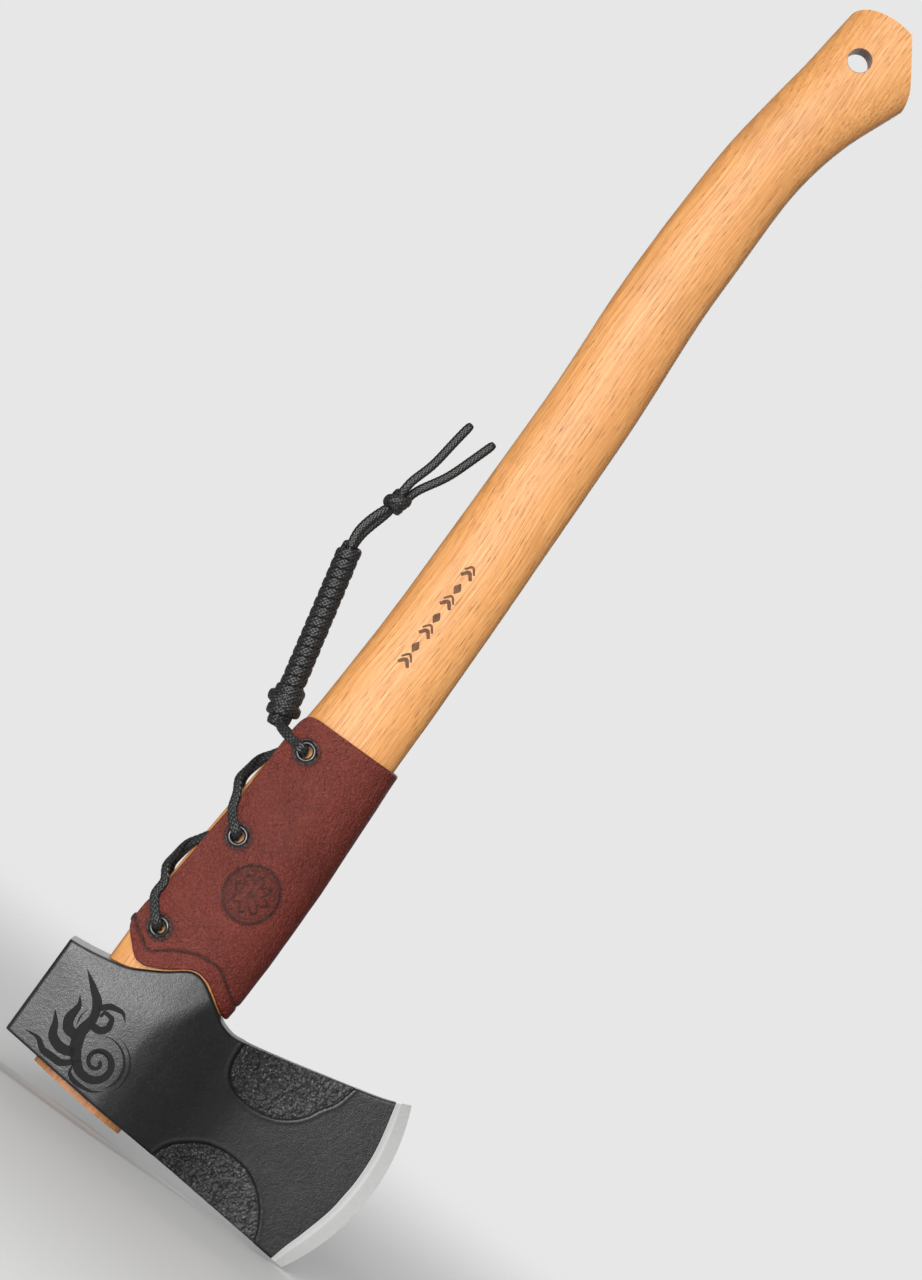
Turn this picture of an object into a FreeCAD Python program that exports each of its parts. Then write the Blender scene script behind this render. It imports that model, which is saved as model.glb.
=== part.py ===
import FreeCAD, Part
import Sketcher
import math
import os

# Felling axe with an oval-eye forged head, a wedged hickory haft, a laced leather
# collar below the head and a whipped cord lanyard.
# Frame, millimetres: +X towards the cutting edge, +Y across the thickness,
# +Z up the haft from the end grain showing in the eye to the grip knob.
# "left" is the -Y side, "right" the +Y side, "front" the cutting-edge side.

V = FreeCAD.Vector
Placement = FreeCAD.Placement
Rotation = FreeCAD.Rotation
Z_AXIS = V(0, 0, 1)
SIDES = ((1, "right"), (-1, "left"))

doc = FreeCAD.newDocument("felling_axe")

# ---------------------------------------------------------------- driving dimensions
DIMENSIONS = [  # alias, value, note
    ("head_blank_width", 40.0, "width of the head blank before the cheeks are cut back"),
    ("poll_back", -44.3, "x of the poll face"),
    ("poll_half", 15.5, "half thickness of the head at the poll face"),
    ("eye_wall_half", 17.0, "half thickness of the head over the eye"),
    ("poll_fillet", 2.2, "edge rounding round the poll face"),
    ("edge_radius", 105.5, "radius of the cutting edge arc"),
    ("edge_centre_along", 31.6, "x of the edge arc centre"),
    ("edge_centre_up", 44.3, "z of the edge arc centre"),
    ("bevel_width", 9.5, "width of the ground bevel at mid edge"),
    ("bevel_half", 3.0, "half thickness where the bevel starts"),
    ("edge_half", 0.2, "half thickness left at the very edge"),
    ("recess_tilt", 4.26, "angle of the cheek recess floor to the middle plane"),
    ("recess_reach", 10.19, "distance of the recess floor plane from the axis at x 0"),
    ("recess_run", 14.0, "outward run of the recess cut"),
    ("haft_power", 2.25, "roundness of the haft section, 2 would be an ellipse"),
    ("tenon_gap", 0.08, "gap between tenon and eye wall"),
    ("end_slope", 5.48, "angle of the tenon end face, parallel to the outer face of the head"),
    ("tenon_round", 1.4, "rounding of the tenon end"),
    ("hang_radius", 5.6, "radius of the hanging hole"),
    ("hang_along", 11.7, "x of the hanging hole"),
    ("hang_up", 597.2, "z of the hanging hole"),
    ("wedge_reach", 46.0, "depth of the wooden wedge"),
    ("wedge_head", 2.6, "half thickness of the wooden wedge at the end face"),
    ("wedge_toe", 0.5, "half thickness of the wooden wedge at its toe"),
    ("wedge_back", -24.6, "rear end of the wooden wedge"),
    ("wedge_front", 25.4, "front end of the wooden wedge"),
    ("steel_reach", 20.0, "depth of the steel wedge"),
    ("steel_head", 1.5, "half thickness of the steel wedge at the end face"),
    ("steel_toe", 0.3, "half thickness of the steel wedge at its toe"),
    ("steel_half_width", 7.5, "half width of the steel wedge"),
    ("steel_place", 5.0, "x of the steel wedge"),
    ("kerf_gap", 0.05, "gap round each wedge"),
    ("leather_thick", 2.8, "thickness of the collar leather"),
    ("leather_gap", 0.2, "gap between haft and collar at the front"),
    ("flap_lift", 3.1, "extra stand-off of the flaps, where the lace runs under them"),
    ("eyelet_bore", 3.1, "inner radius of an eyelet"),
    ("eyelet_barrel", 3.4, "outer radius of the eyelet barrel"),
    ("eyelet_flange", 5.7, "radius of the eyelet flange"),
    ("eyelet_dome", 1.15, "height of the rolled flange"),
    ("eyelet_drill", 3.5, "radius of the hole in the leather"),
    ("washer_radius", 5.3, "outer radius of the washer behind the leather"),
    ("washer_thick", 0.4, "thickness of the washer"),
    ("spot_radius", 5.9, "radius of the flat seat pressed into the leather"),
    ("lace_radius", 1.2, "radius of the cord where it is laced tight"),
    ("coil_radius", 4.35, "radius of the whipping, to the middle of the cord"),
    ("coil_pitch", 5.3, "pitch of the whipping"),
    ("coil_height", 68.9, "length of the even part of the whipping"),
    ("coil_half_wide", 2.45, "half width of the flattened whipping cord"),
    ("coil_half_thick", 1.4, "half thickness of the flattened whipping cord"),
    ("base_radius", 6.1, "radius of the first loose turns"),
    ("base_pitch", 4.6, "pitch of the first loose turns"),
    ("base_height", 9.2, "length of the first loose turns"),
    ("link_radius", 1.6, "radius of the strands between whipping and knot"),
    ("knot_cord_radius", 1.6, "radius of the cord in the knot"),
    ("knot_scale", 1.72, "size of the knot's bights"),
    ("knot_depth", 2.35, "depth of the knot's crossings"),
    ("tail_radius", 1.9, "radius of the free tails"),
]
sheet = doc.addObject("Spreadsheet::Sheet", "dims")
for row, (alias, value, note) in enumerate(DIMENSIONS, start=1):
    sheet.set("A%d" % row, note)
    sheet.set("B%d" % row, str(value))
    sheet.setAlias("B%d" % row, alias)
doc.recompute()


def dim(alias):
    return float(sheet.get(alias))


# ---------------------------------------------------------------- sketches and features
def new_body(name):
    return doc.addObject("PartDesign::Body", name)


def sketch(body, role, name, offset=None):
    """sketch on the body's origin plane of that role, moved by offset"""
    plane = [f for f in body.Origin.OriginFeatures if f.Role == role][0]
    sk = body.newObject("Sketcher::SketchObject", name)
    sk.AttachmentSupport = [(plane, "")]
    sk.MapMode = "FlatFace"
    if offset is not None:
        sk.AttachmentOffset = offset
    return sk


def spline(points):
    """smooth curve through the points, with its parameter spaced by chord length"""
    steps = [0.0]
    for start, end in zip(points, points[1:]):
        steps.append(steps[-1] + (end - start).Length ** 0.8)
    curve = Part.BSplineCurve()
    curve.interpolate(Points=points, Parameters=steps)
    return curve


def outline(sk, runs):
    """each run is a list of (x, y); two points give a line, more a smooth curve"""
    for run in runs:
        points = [V(x, y, 0) for x, y in run]
        if len(points) == 2:
            sk.addGeometry(Part.LineSegment(points[0], points[1]), False)
        else:
            sk.addGeometry(spline(points), False)


def polygon(sk, points):
    outline(sk, [[start, end] for start, end in zip(points, points[1:] + points[:1])])


def curve_and_corners(sk, curve, corners):
    """a smooth curve closed by straight lines through the corners"""
    chain = [curve[-1]] + corners + [curve[0]]
    outline(sk, [curve] + [[start, end] for start, end in zip(chain, chain[1:])])


def bound_circle(sk, x, y, radius, expression):
    """circle whose radius follows a spreadsheet expression"""
    index = sk.addGeometry(Part.Circle(V(x, y, 0), Z_AXIS, radius), False)
    constraint = sk.addConstraint(Sketcher.Constraint("Radius", index, radius))
    sk.setExpression("Constraints[%d]" % constraint, expression)
    return index


def symmetric_pocket(body, sk, name, length):
    pocket = body.newObject("PartDesign::Pocket", name)
    pocket.Profile = sk
    pocket.SideType = "Symmetric"
    pocket.Length = length
    doc.recompute()


def rounded(body, name, pick, alias, smaller):
    """fillet the picked edges by the aliased radius"""
    base = body.Tip
    edges = ["Edge%d" % i for i, edge in enumerate(base.Shape.Edges, start=1) if pick(edge)]
    volume = base.Shape.Volume
    # the smaller radii stand in where the kernel cannot build the wanted fillet
    for radius in (dim(alias),) + smaller:
        fillet = body.newObject("PartDesign::Fillet", name)
        fillet.Base = (base, edges)
        fillet.Radius = radius
        doc.recompute()
        if (fillet.isValid() and not fillet.Shape.isNull() and fillet.Shape.isValid()
                and 0.9 * volume < fillet.Shape.Volume < volume):
            if radius == dim(alias):
                fillet.setExpression("Radius", "dims." + alias)
                doc.recompute()
            return
        body.removeObject(fillet)
        doc.removeObject(fillet.Name)
        body.Tip = base
        doc.recompute()
    FreeCAD.Console.PrintWarning("%s left sharp\n" % name)


def near_volume(name, obj, low, high):
    volume = obj.Shape.Volume
    if not low <= volume <= high:
        raise RuntimeError("%s has volume %.1f, expected %.1f to %.1f" % (name, volume, low, high))


def require_removed(name, body, before, least, most=math.inf):
    taken = before - body.Shape.Volume
    if not least < taken < most:
        raise RuntimeError("%s removed %.0f" % (name, taken))


def mesh_volume(shape):
    """volume from the faceted surface, steadier than the exact integral on long lofted faces"""
    points, triangles = shape.tessellate(0.05)
    return sum(points[i].dot(points[j].cross(points[k])) for i, j, k in triangles) / 6.0


# ---------------------------------------------------------------- eye and haft stations
def monotone_cubic(knots, values):
    """monotone cubic through (knots, values), returned as a function"""
    count = len(knots)
    gaps = [knots[i + 1] - knots[i] for i in range(count - 1)]
    rates = [(values[i + 1] - values[i]) / gaps[i] for i in range(count - 1)]
    slopes = [rates[0]]
    for i in range(1, count - 1):
        if rates[i - 1] * rates[i] <= 0:
            slopes.append(0.0)
        else:
            before = 2 * gaps[i] + gaps[i - 1]
            after = gaps[i] + 2 * gaps[i - 1]
            slopes.append((before + after) / (before / rates[i - 1] + after / rates[i]))
    slopes.append(rates[-1])

    def value_at(z):
        z = min(max(z, knots[0]), knots[-1])
        i = 0
        while i < count - 2 and z > knots[i + 1]:
            i += 1
        u = (z - knots[i]) / gaps[i]
        return (
            values[i] * (2 * u ** 3 - 3 * u ** 2 + 1)
            + slopes[i] * gaps[i] * (u ** 3 - 2 * u ** 2 + u)
            + values[i + 1] * (3 * u ** 2 - 2 * u ** 3)
            + slopes[i + 1] * gaps[i] * (u ** 3 - u ** 2)
        )

    return value_at


def station_curves(stations):
    """rear x, front x and half thickness as functions of z"""
    heights = [station[0] for station in stations]
    return [monotone_cubic(heights, [station[k] for station in stations]) for k in (1, 2, 3)]


# All station tables: z, rear x, front x, half thickness
EYE_KEYS = [
    (-24.0, -26.2, 24.6, 11.6),
    (3.5, -26.0, 27.0, 11.3),
    (35.0, -25.6, 29.8, 10.2),
    (60.0, -25.5, 31.9, 10.4),
    (80.0, -25.4, 33.6, 10.9),
    (104.0, -25.4, 35.6, 11.4),
]
EYE_HEIGHTS = (-24.0, 4.0, 20.0, 36.0, 58.0, 81.0, 100.0)
eye_rear, eye_front, eye_half = station_curves(EYE_KEYS)


def eye_station(z, gap):
    return (z, eye_rear(z) + gap, eye_front(z) - gap, eye_half(z) - gap)


EYE = [eye_station(z, 0.0) for z in EYE_HEIGHTS]
TENON = [eye_station(z, dim("tenon_gap")) for z in EYE_HEIGHTS[:-1]]
SHAFT = [
    (92.0, -25.2, 33.9, 12.2),
    (104.0, -24.9, 34.2, 12.9),
    (118.0, -24.3, 34.2, 13.1),
    (136.0, -23.0, 34.0, 13.0),
    (150.0, -22.0, 33.5, 12.95),
    (169.0, -20.6, 32.5, 12.8),
    (188.0, -18.6, 31.65, 12.55),
    (207.0, -16.4, 30.9, 12.4),
    (230.0, -15.1, 30.8, 12.2),
    (254.0, -14.1, 30.5, 12.1),
    (278.0, -13.6, 30.1, 12.0),
    (302.0, -13.6, 29.6, 11.95),
    (326.0, -13.6, 28.9, 11.9),
    (350.0, -13.7, 28.35, 11.85),
    (373.0, -13.8, 27.7, 11.8),
    (395.0, -14.1, 27.1, 11.75),
    (416.0, -15.0, 26.0, 11.7),
    (439.0, -16.3, 24.4, 11.7),
    (462.0, -16.8, 23.2, 11.7),
    (485.0, -16.6, 23.1, 11.75),
    (508.0, -15.9, 23.0, 11.85),
    (531.0, -14.7, 23.7, 12.1),
    (545.0, -13.1, 25.7, 12.4),
    (556.0, -11.5, 28.2, 12.8),
    (568.0, -9.8, 32.0, 13.2),
    (579.0, -8.0, 36.5, 13.45),
    (590.0, -6.6, 41.0, 13.5),
    (602.0, -5.3, 45.5, 13.5),
    (614.0, -3.9, 49.6, 13.4),
    (626.0, -2.6, 53.4, 13.2),
]
rear_at, front_at, half_at = station_curves(TENON + SHAFT)

POWER = dim("haft_power")
RING_POINTS = 20


def ring_point(rear, front, half, angle, off=0.0):
    """(x, y) at angle (0 front, 90 right, 180 rear), off outward from the oval section"""
    reach, centre = (front - rear) / 2, (front + rear) / 2
    cosine, sine = math.cos(angle), math.sin(angle)
    x = reach * math.copysign(abs(cosine) ** (2 / POWER), cosine)
    y = half * math.copysign(abs(sine) ** (2 / POWER), sine)
    normal_x = math.copysign((abs(x) / reach) ** (POWER - 1) / reach, x)
    normal_y = math.copysign((abs(y) / half) ** (POWER - 1) / half, y)
    size = math.hypot(normal_x, normal_y)
    return centre + x + off * normal_x / size, y + off * normal_y / size


def lofted(body, kind, name, stations, off=None, ruled=False):
    """loft through oval rings, one for each station; off gives the stand-off at an angle"""
    rings = []
    for k, (z, rear, front, half) in enumerate(stations):
        sk = sketch(body, "XY_Plane", "%s_ring_%02d" % (name, k), Placement(V(0, 0, z), Rotation()))
        points = []
        for i in range(RING_POINTS):
            angle = math.pi + 2 * math.pi * i / RING_POINTS
            x, y = ring_point(rear, front, half, angle, off(angle) if off else 0.0)
            points.append(V(x, y, 0))
        curve = Part.BSplineCurve()
        curve.interpolate(Points=points, PeriodicFlag=True)
        sk.addGeometry(curve, False)
        rings.append(sk)
    doc.recompute()
    loft = body.newObject("PartDesign::" + kind, name)
    loft.Profile = rings[0]
    loft.Sections = rings[1:]
    loft.Ruled = ruled
    doc.recompute()


# ================================================================ AXE HEAD
POLL = dim("poll_back")
POLL_OVERCUT = 0.01
POLL_LOW, POLL_TOP = (POLL, 7.8), (POLL, 58.3)
# cutting edge arc (x, z): its two tips and a point between them
EDGE_TOP, EDGE_MIDDLE, EDGE_LOW = (127.9, 87.4), (137.1, 41.8), (123.1, -8.3)
# side of the head nearest the knob (x, z), from the poll to the edge
HAFT_SIDE = [
    POLL_TOP, (-36, 59.2), (-28, 60.5), (-16, 63.2), (-6.7, 67.9), (0, 71.9), (6.7, 76.9),
    (10.2, 78.8), (13, 79.2), (16.7, 78.4), (22.7, 75.2), (30.7, 69.9), (36.5, 66.6), (42.7, 65.3),
    (49.3, 66.1), (66.7, 69.9), (88, 75.2), (102.7, 78.9), (115, 82.2), (121.3, 84.4), EDGE_TOP,
]
# half thickness of the head (x, y)
CHEEK_PLAN = [
    (POLL - POLL_OVERCUT, dim("poll_half")), (-30, 16.3), (-10, dim("eye_wall_half")), (8, 16.7),
    (18, 15.2), (26, 13.2), (34, 11.1), (42, 9.4), (52, 7.9), (62, 6.8), (76, 5.75), (90, 4.8),
    (104, 3.85), (118, 3.0), (140, 1.6),
]
# half thickness of the lobes beside the haft (y, z)
LOBE_TAPER = [(17.4, 36), (16.6, 48), (15.2, 60), (13.7, 71), (12.5, 82)]
# lengths of the symmetric cuts, and the y and z at which their waste ends
CHEEK_CUT, LOBE_CUT = 260, 300
WASTE_HALF, WASTE_TOP = 30, 100
# bevel profile: run inward and outward of the edge arc, and half height of the waste
BEVEL_INWARD, BEVEL_OUTWARD, BEVEL_WASTE = 16, 8, 9
# curved border of each D-shaped field (x, z), and the z beyond the head where its cut closes
FIELDS = [
    ("upper", 100, [
        (48, 66.2), (48.3, 59), (50, 52.2), (53, 48), (57, 45.2), (63, 43.6), (70, 43.2),
        (76, 44.2), (82, 46.4), (88, 50.6), (92, 55), (95.4, 61.4), (99.6, 68), (102.5, 79.5)]),
    ("lower", -30, [
        (44, -1.5), (45.5, 4), (48, 8.4), (55, 14.6), (63, 19), (73, 20.7), (83, 19.6),
        (90, 16.4), (95, 12.6), (99.6, 7.6), (103.5, 1.2), (107, -7.5)]),
]


def thin_cheek(head, side, name):
    """cut one cheek back to the wedge-shaped plan"""
    sk = sketch(head, "XY_Plane", "cheek_%s_plan" % name)
    curve = [(x, side * y) for x, y in CHEEK_PLAN]
    corners = [(curve[-1][0], side * WASTE_HALF), (curve[0][0], side * WASTE_HALF)]
    curve_and_corners(sk, curve, corners)
    symmetric_pocket(head, sk, "cheek_" + name, CHEEK_CUT)


def thin_lobe(head, side, name):
    """thin one lobe beside the haft towards its tip"""
    sk = sketch(head, "YZ_Plane", "lobe_%s_taper" % name)
    curve = [(side * y, z) for y, z in LOBE_TAPER]
    corners = [(curve[-1][0], WASTE_TOP), (side * WASTE_HALF, WASTE_TOP),
               (side * WASTE_HALF, curve[0][1])]
    curve_and_corners(sk, curve, corners)
    symmetric_pocket(head, sk, "lobe_" + name, LOBE_CUT)


def grind_bevel(head, side, name):
    """a shallow cone about the centre of the edge arc"""
    centre = V(dim("edge_centre_along"), 0, dim("edge_centre_up"))
    sk = sketch(head, "XY_Plane", "bevel_%s_profile" % name, Placement(centre, Rotation()))
    sk.setExpression("AttachmentOffset.Base.x", "dims.edge_centre_along")
    sk.setExpression("AttachmentOffset.Base.z", "dims.edge_centre_up")
    edge_half = dim("edge_half")
    slope = (dim("bevel_half") - edge_half) / dim("bevel_width")
    edge = dim("edge_radius")
    inner, outer = edge - BEVEL_INWARD, edge + BEVEL_OUTWARD
    polygon(sk, [
        (inner, side * (edge_half + BEVEL_INWARD * slope)), (edge, side * edge_half),
        (outer, side * edge_half), (outer, side * BEVEL_WASTE), (inner, side * BEVEL_WASTE),
    ])
    groove = head.newObject("PartDesign::Groove", "bevel_" + name)
    groove.Profile = sk
    groove.ReferenceAxis = (sk, ["V_Axis"])
    groove.Angle = 360
    before = head.Shape.Volume
    doc.recompute()
    require_removed("bevel_" + name, head, before, 100)


def hollow_field(head, side, side_name, tag, far, border):
    """one D-shaped field; the sketch lies in its floor, with its normal towards -Y"""
    tilt = dim("recess_tilt")
    floor = Placement(V(0, 0, -side * dim("recess_reach")), Rotation(V(0, 1, 0), -side * tilt))
    sk = sketch(head, "XZ_Plane", "field_%s_%s" % (tag, side_name), floor)
    # lengthened along x so that the border keeps its size seen square to the middle plane
    stretch = 1 / math.cos(math.radians(tilt))
    curve = [(x * stretch, z) for x, z in border]
    curve_and_corners(sk, curve, [(curve[-1][0], far), (curve[0][0], far)])
    name = "hollow_%s_%s" % (tag, side_name)
    pocket = head.newObject("PartDesign::Pocket", name)
    pocket.Profile = sk
    pocket.Reversed = side < 0
    pocket.setExpression("Length", "dims.recess_run")
    before = head.Shape.Volume
    doc.recompute()
    require_removed(name, head, before, 300, 6000)


def build_head():
    head = new_body("head_blank")
    sk = sketch(head, "XZ_Plane", "head_side")
    outline(sk, [[POLL_LOW, POLL_TOP], HAFT_SIDE, [EDGE_LOW, POLL_LOW]])
    edge_points = [V(x, z, 0) for x, z in (EDGE_TOP, EDGE_MIDDLE, EDGE_LOW)]
    sk.addGeometry(Part.Arc(*edge_points), False)
    pad = head.newObject("PartDesign::Pad", "head_pad")
    pad.Profile = sk
    pad.SideType = "Symmetric"
    pad.setExpression("Length", "dims.head_blank_width")
    doc.recompute()
    near_volume("head_pad", pad, 300000, 700000)

    blank_volume = pad.Shape.Volume
    for side, name in SIDES:
        thin_cheek(head, side, name)
    require_removed("cheeks", head, blank_volume, 0.28 * blank_volume)
    cheek_volume = head.Shape.Volume
    for side, name in SIDES:
        thin_lobe(head, side, name)
    require_removed("lobes", head, cheek_volume, 0)
    for side, name in SIDES:
        grind_bevel(head, side, name)
    lofted(head, "SubtractiveLoft", "eye", EYE, ruled=True)
    require_removed("eye", head, cheek_volume, 30000)
    for side, name in SIDES:
        for tag, far, border in FIELDS:
            hollow_field(head, side, name, tag, far, border)
    rounded(head, "poll_edges", lambda edge: edge.BoundBox.XMax < POLL + 0.05,
            "poll_fillet", (1.5, 1.0))
    return head


# ================================================================ HAFT AND WEDGES
HAFT_CUT = 80                             # length of the symmetric cuts through the haft
SAW_REACH = 60                            # half size of the waste cut off the tenon
END_FALL = math.tan(math.radians(dim("end_slope")))
# knob end (x, z): the rounded top, then the curve in front of a slanted facet
KNOB_TOP = [
    (-4.75, 608.0), (-4.35, 611.5), (-3.3, 615.2), (-1.4, 617.4), (1.5, 619.3), (5, 620.6),
    (10, 621.6), (15, 621.9), (20, 621.5), (24.5, 620.6),
]
KNOB_FRONT = [
    (36.5, 603.2), (39.4, 598.4), (40.9, 593.6), (41.3, 589.4), (41.0, 585.8), (40.2, 582.6),
]
KNOB_WASTE = [(80, 582.6), (80, 650), (-30, 650), (-30, 608.0)]

# the wedges share a frame standing square on the sloping end face
WEDGE_FRAME = Placement(V(0, 0, 0), Rotation(V(0, 1, 0), dim("end_slope")))
SLOT_OVER = 8.0                           # run of the slots beyond the end face
WOOD_SLOT_BACK, WOOD_SLOT_FRONT = -40, 45


def on_end_plane(edge):
    first, span = edge.FirstParameter, edge.LastParameter - edge.FirstParameter
    points = [edge.valueAt(first + span * part) for part in (0, 0.37, 0.71, 1)]
    return all(abs(point.z + point.x * END_FALL) < 0.02 for point in points)


def cut_haft(body, sk, name, least):
    before = body.Shape.Volume
    symmetric_pocket(body, sk, name, HAFT_CUT)
    require_removed(name, body, before, least)


def build_haft_blank():
    body = new_body("haft_blank")
    lofted(body, "AdditiveLoft", "haft_loft", TENON[-1:] + SHAFT)
    lofted(body, "AdditiveLoft", "tenon_loft", TENON, ruled=True)
    near_volume("haft_loft", body, 500000, 700000)

    sk = sketch(body, "XZ_Plane", "knob_outline")
    waste = [KNOB_FRONT[-1]] + KNOB_WASTE
    outline(sk, [[KNOB_WASTE[-1], KNOB_TOP[0]], KNOB_TOP, [KNOB_TOP[-1], KNOB_FRONT[0]], KNOB_FRONT]
            + [[start, end] for start, end in zip(waste, waste[1:])])
    cut_haft(body, sk, "knob_cut", 5000)

    # the tenon is sawn off parallel to the outer face of the head
    sk = sketch(body, "XZ_Plane", "tenon_saw")
    fall = SAW_REACH * END_FALL
    polygon(sk, [(-SAW_REACH, fall), (SAW_REACH, -fall),
                 (SAW_REACH, -SAW_REACH), (-SAW_REACH, -SAW_REACH)])
    cut_haft(body, sk, "tenon_cut", 5000)

    sk = sketch(body, "XZ_Plane", "hang_circle")
    circle = bound_circle(sk, dim("hang_along"), dim("hang_up"), dim("hang_radius"),
                          "dims.hang_radius")
    for kind, alias in (("DistanceX", "hang_along"), ("DistanceY", "hang_up")):
        index = sk.addConstraint(Sketcher.Constraint(kind, -1, 1, circle, 3, dim(alias)))
        sk.setExpression("Constraints[%d]" % index, "dims." + alias)
    cut_haft(body, sk, "hang_hole", 1500)

    rounded(body, "tenon_rounding", on_end_plane, "tenon_round", (1.0, 0.6))
    return body


def wedge(name, role, kind, low, high, centre=0.0, gap=0.0, over=0.0):
    """a tapering wedge of the kind's head, toe and reach, padded from low to high;
    gap enlarges it all round and over carries its taper beyond the end face"""
    head, toe, reach = (dim("%s_%s" % (kind, part)) for part in ("head", "toe", "reach"))
    top = head + (head - toe) / reach * over + gap
    tip = toe + gap
    body = new_body(name)
    sk = sketch(body, role, name + "_taper")
    polygon(sk, [(centre - top, -over), (centre + top, -over),
                 (centre + tip, reach + gap), (centre - tip, reach + gap)])
    pad = body.newObject("PartDesign::Pad", name + "_pad")
    pad.Profile = sk
    pad.SideType = "Two sides"
    pad.Length = high + gap
    pad.Length2 = -low + gap
    body.Placement = WEDGE_FRAME
    doc.recompute()
    return body, pad


def build_haft_and_wedges():
    blank = build_haft_blank()
    kerf = dim("kerf_gap")
    # the wooden wedge runs along the eye and tapers in Y
    wood_blank, pad = wedge("wood_wedge_blank", "YZ_Plane", "wedge",
                            dim("wedge_back"), dim("wedge_front"))
    pad.setExpression("Length", "dims.wedge_front")
    pad.setExpression("Length2", "-dims.wedge_back")
    wood_slot, _ = wedge("wood_wedge_slot", "YZ_Plane", "wedge",
                         WOOD_SLOT_BACK, WOOD_SLOT_FRONT, gap=kerf, over=SLOT_OVER)
    # the steel wedge runs across it and tapers in X
    half, place = dim("steel_half_width"), dim("steel_place")
    steel, pad = wedge("steel_wedge_body", "XZ_Plane", "steel", -half, half, place)
    pad.setExpression("Length", "dims.steel_half_width")
    pad.setExpression("Length2", "dims.steel_half_width")
    steel_slot, _ = wedge("steel_wedge_slot", "XZ_Plane", "steel", -half, half, place,
                          gap=kerf, over=SLOT_OVER)
    doc.recompute()

    wood = cut_from("wood_wedge", wood_blank, steel_slot)
    slots = doc.addObject("Part::MultiFuse", "wedge_slots")
    slots.Shapes = [wood_slot, steel_slot]
    haft = cut_from("haft", blank, slots)
    doc.recompute()
    if not mesh_volume(haft.Shape) < mesh_volume(blank.Shape) - 6000:
        raise RuntimeError("the kerf was not cut")
    return [("haft", haft), ("wood_wedge", wood), ("steel_wedge", steel)]


def cut_from(name, base, tool):
    cut = doc.addObject("Part::Cut", name)
    cut.Base = base
    cut.Tool = tool
    return cut


# ================================================================ LEATHER COLLAR
LEATHER = dim("leather_thick")
LEATHER_GAP = dim("leather_gap")
FLAP_LIFT = dim("flap_lift")
LIFT_START, LIFT_SPAN = 78.0, 40.0        # degrees from the front over which the flaps lift
COLLAR_HEIGHTS = [60.0, 70.0, 80.0, 92.0, 104.0, 119.0, 136.0, 150.0, 169.0, 190.0, 206.0, 214.0]
COLLAR_LEAST_HALF = 10.82                 # half thickness kept over the lobes
INNER_LOW, INNER_HIGH = 58.0, 216.0       # z of the ends of the inner form
PATTERN_WIDTH = 80
COLLAR_FRONT, COLLAR_TOP = 60, 206.5      # x and z of the straight sides of the pattern
# lower end and rear side of the collar pattern (x, z)
COLLAR_LOWER = [
    (-27.4, 84.5), (-26.9, 80.2), (-24.5, 76.4), (-21, 73.1), (-17.4, 69.9), (-14.2, 68.2),
    (-11, 68.2), (-6, 70.0), (0, 73.0), (5, 76.6), (10, 79.4), (13, 79.9), (18, 78.9), (25, 75.0),
    (30, 71.7), (35, 69.2), (44, 66.5),
]
COLLAR_REAR = [
    (-27.4, 84.5), (-26.9, 92), (-25.2, 99), (-24.2, 105.2), (-24, 112.2), (-23.2, 122.2),
    (-22.6, 132.2), (-22, 140.2), (-21, 150.2), (-20.1, 157.2), (-20, 167.2), (-19.8, 175.2),
    (-19.5, 185.2), (-19.2, 192.2), (-18.6, 199.2), (-17, 204), (-14.5, 205.9), (-11, COLLAR_TOP),
]
# eyelet seats: tag, x and z of the centre on the outer face
SEAT_CENTRES = [("lower", -14.6, 86.9), ("middle", -9.8, 141.8), ("upper", -7.2, 191.3)]
# tools at each seat: name, radius alias, start and end along the normal from the outer face
SEAT_TOOLS = [("drill", "eyelet_drill", -9.0, 6.0), ("spot", "spot_radius", -8.0, -LEATHER)]


def stand_off(angle):
    """distance of the leather's inner face from the haft: close in front, lifted at the flaps"""
    turn = abs(math.degrees(math.atan2(math.sin(angle), math.cos(angle))))
    u = min(max((turn - LIFT_START) / LIFT_SPAN, 0.0), 1.0)
    return LEATHER_GAP + FLAP_LIFT * u * u * (3 - 2 * u)


def skin(angle, z, off):
    """point standing off from the haft's skin"""
    x, y = ring_point(rear_at(z), front_at(z), half_at(z), angle, off)
    return V(x, y, z)


def outer_face(angle, z):
    """point on the outer face of the leather"""
    return skin(angle, z, stand_off(angle) + LEATHER)


def seat_angle(x_wanted, z):
    """angle at which the outer face reaches that x, by bisection"""
    low, high = math.radians(80), math.radians(175)
    for _ in range(60):
        middle = (low + high) / 2
        if outer_face(middle, z).x > x_wanted:
            low = middle
        else:
            high = middle
    return (low + high) / 2


class Seat:
    """centre of an eyelet on the outer face of the leather, and the outward normal there"""

    def __init__(self, side, angle, z):
        turn, rise = 1e-3, 0.5            # steps for the two tangents
        self.z = z
        self.degrees = math.degrees(angle)
        self.point = outer_face(side * angle, z)
        around = outer_face(side * angle + turn, z) - outer_face(side * angle - turn, z)
        upward = outer_face(side * angle, z + rise) - outer_face(side * angle, z - rise)
        self.normal = around.cross(upward)
        self.normal.normalize()
        if self.normal.y * side < 0:
            self.normal = self.normal * -1

    def placed(self, height):
        """placement with Z along the normal, that height above the outer face"""
        return Placement(self.point + self.normal * height, Rotation(Z_AXIS, self.normal))


seats = {}
for tag, seat_x, seat_z in SEAT_CENTRES:
    for side, side_name in ((-1, "left"), (1, "right")):
        seats[(tag, side_name)] = Seat(side, seat_angle(seat_x, seat_z), seat_z)


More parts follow.
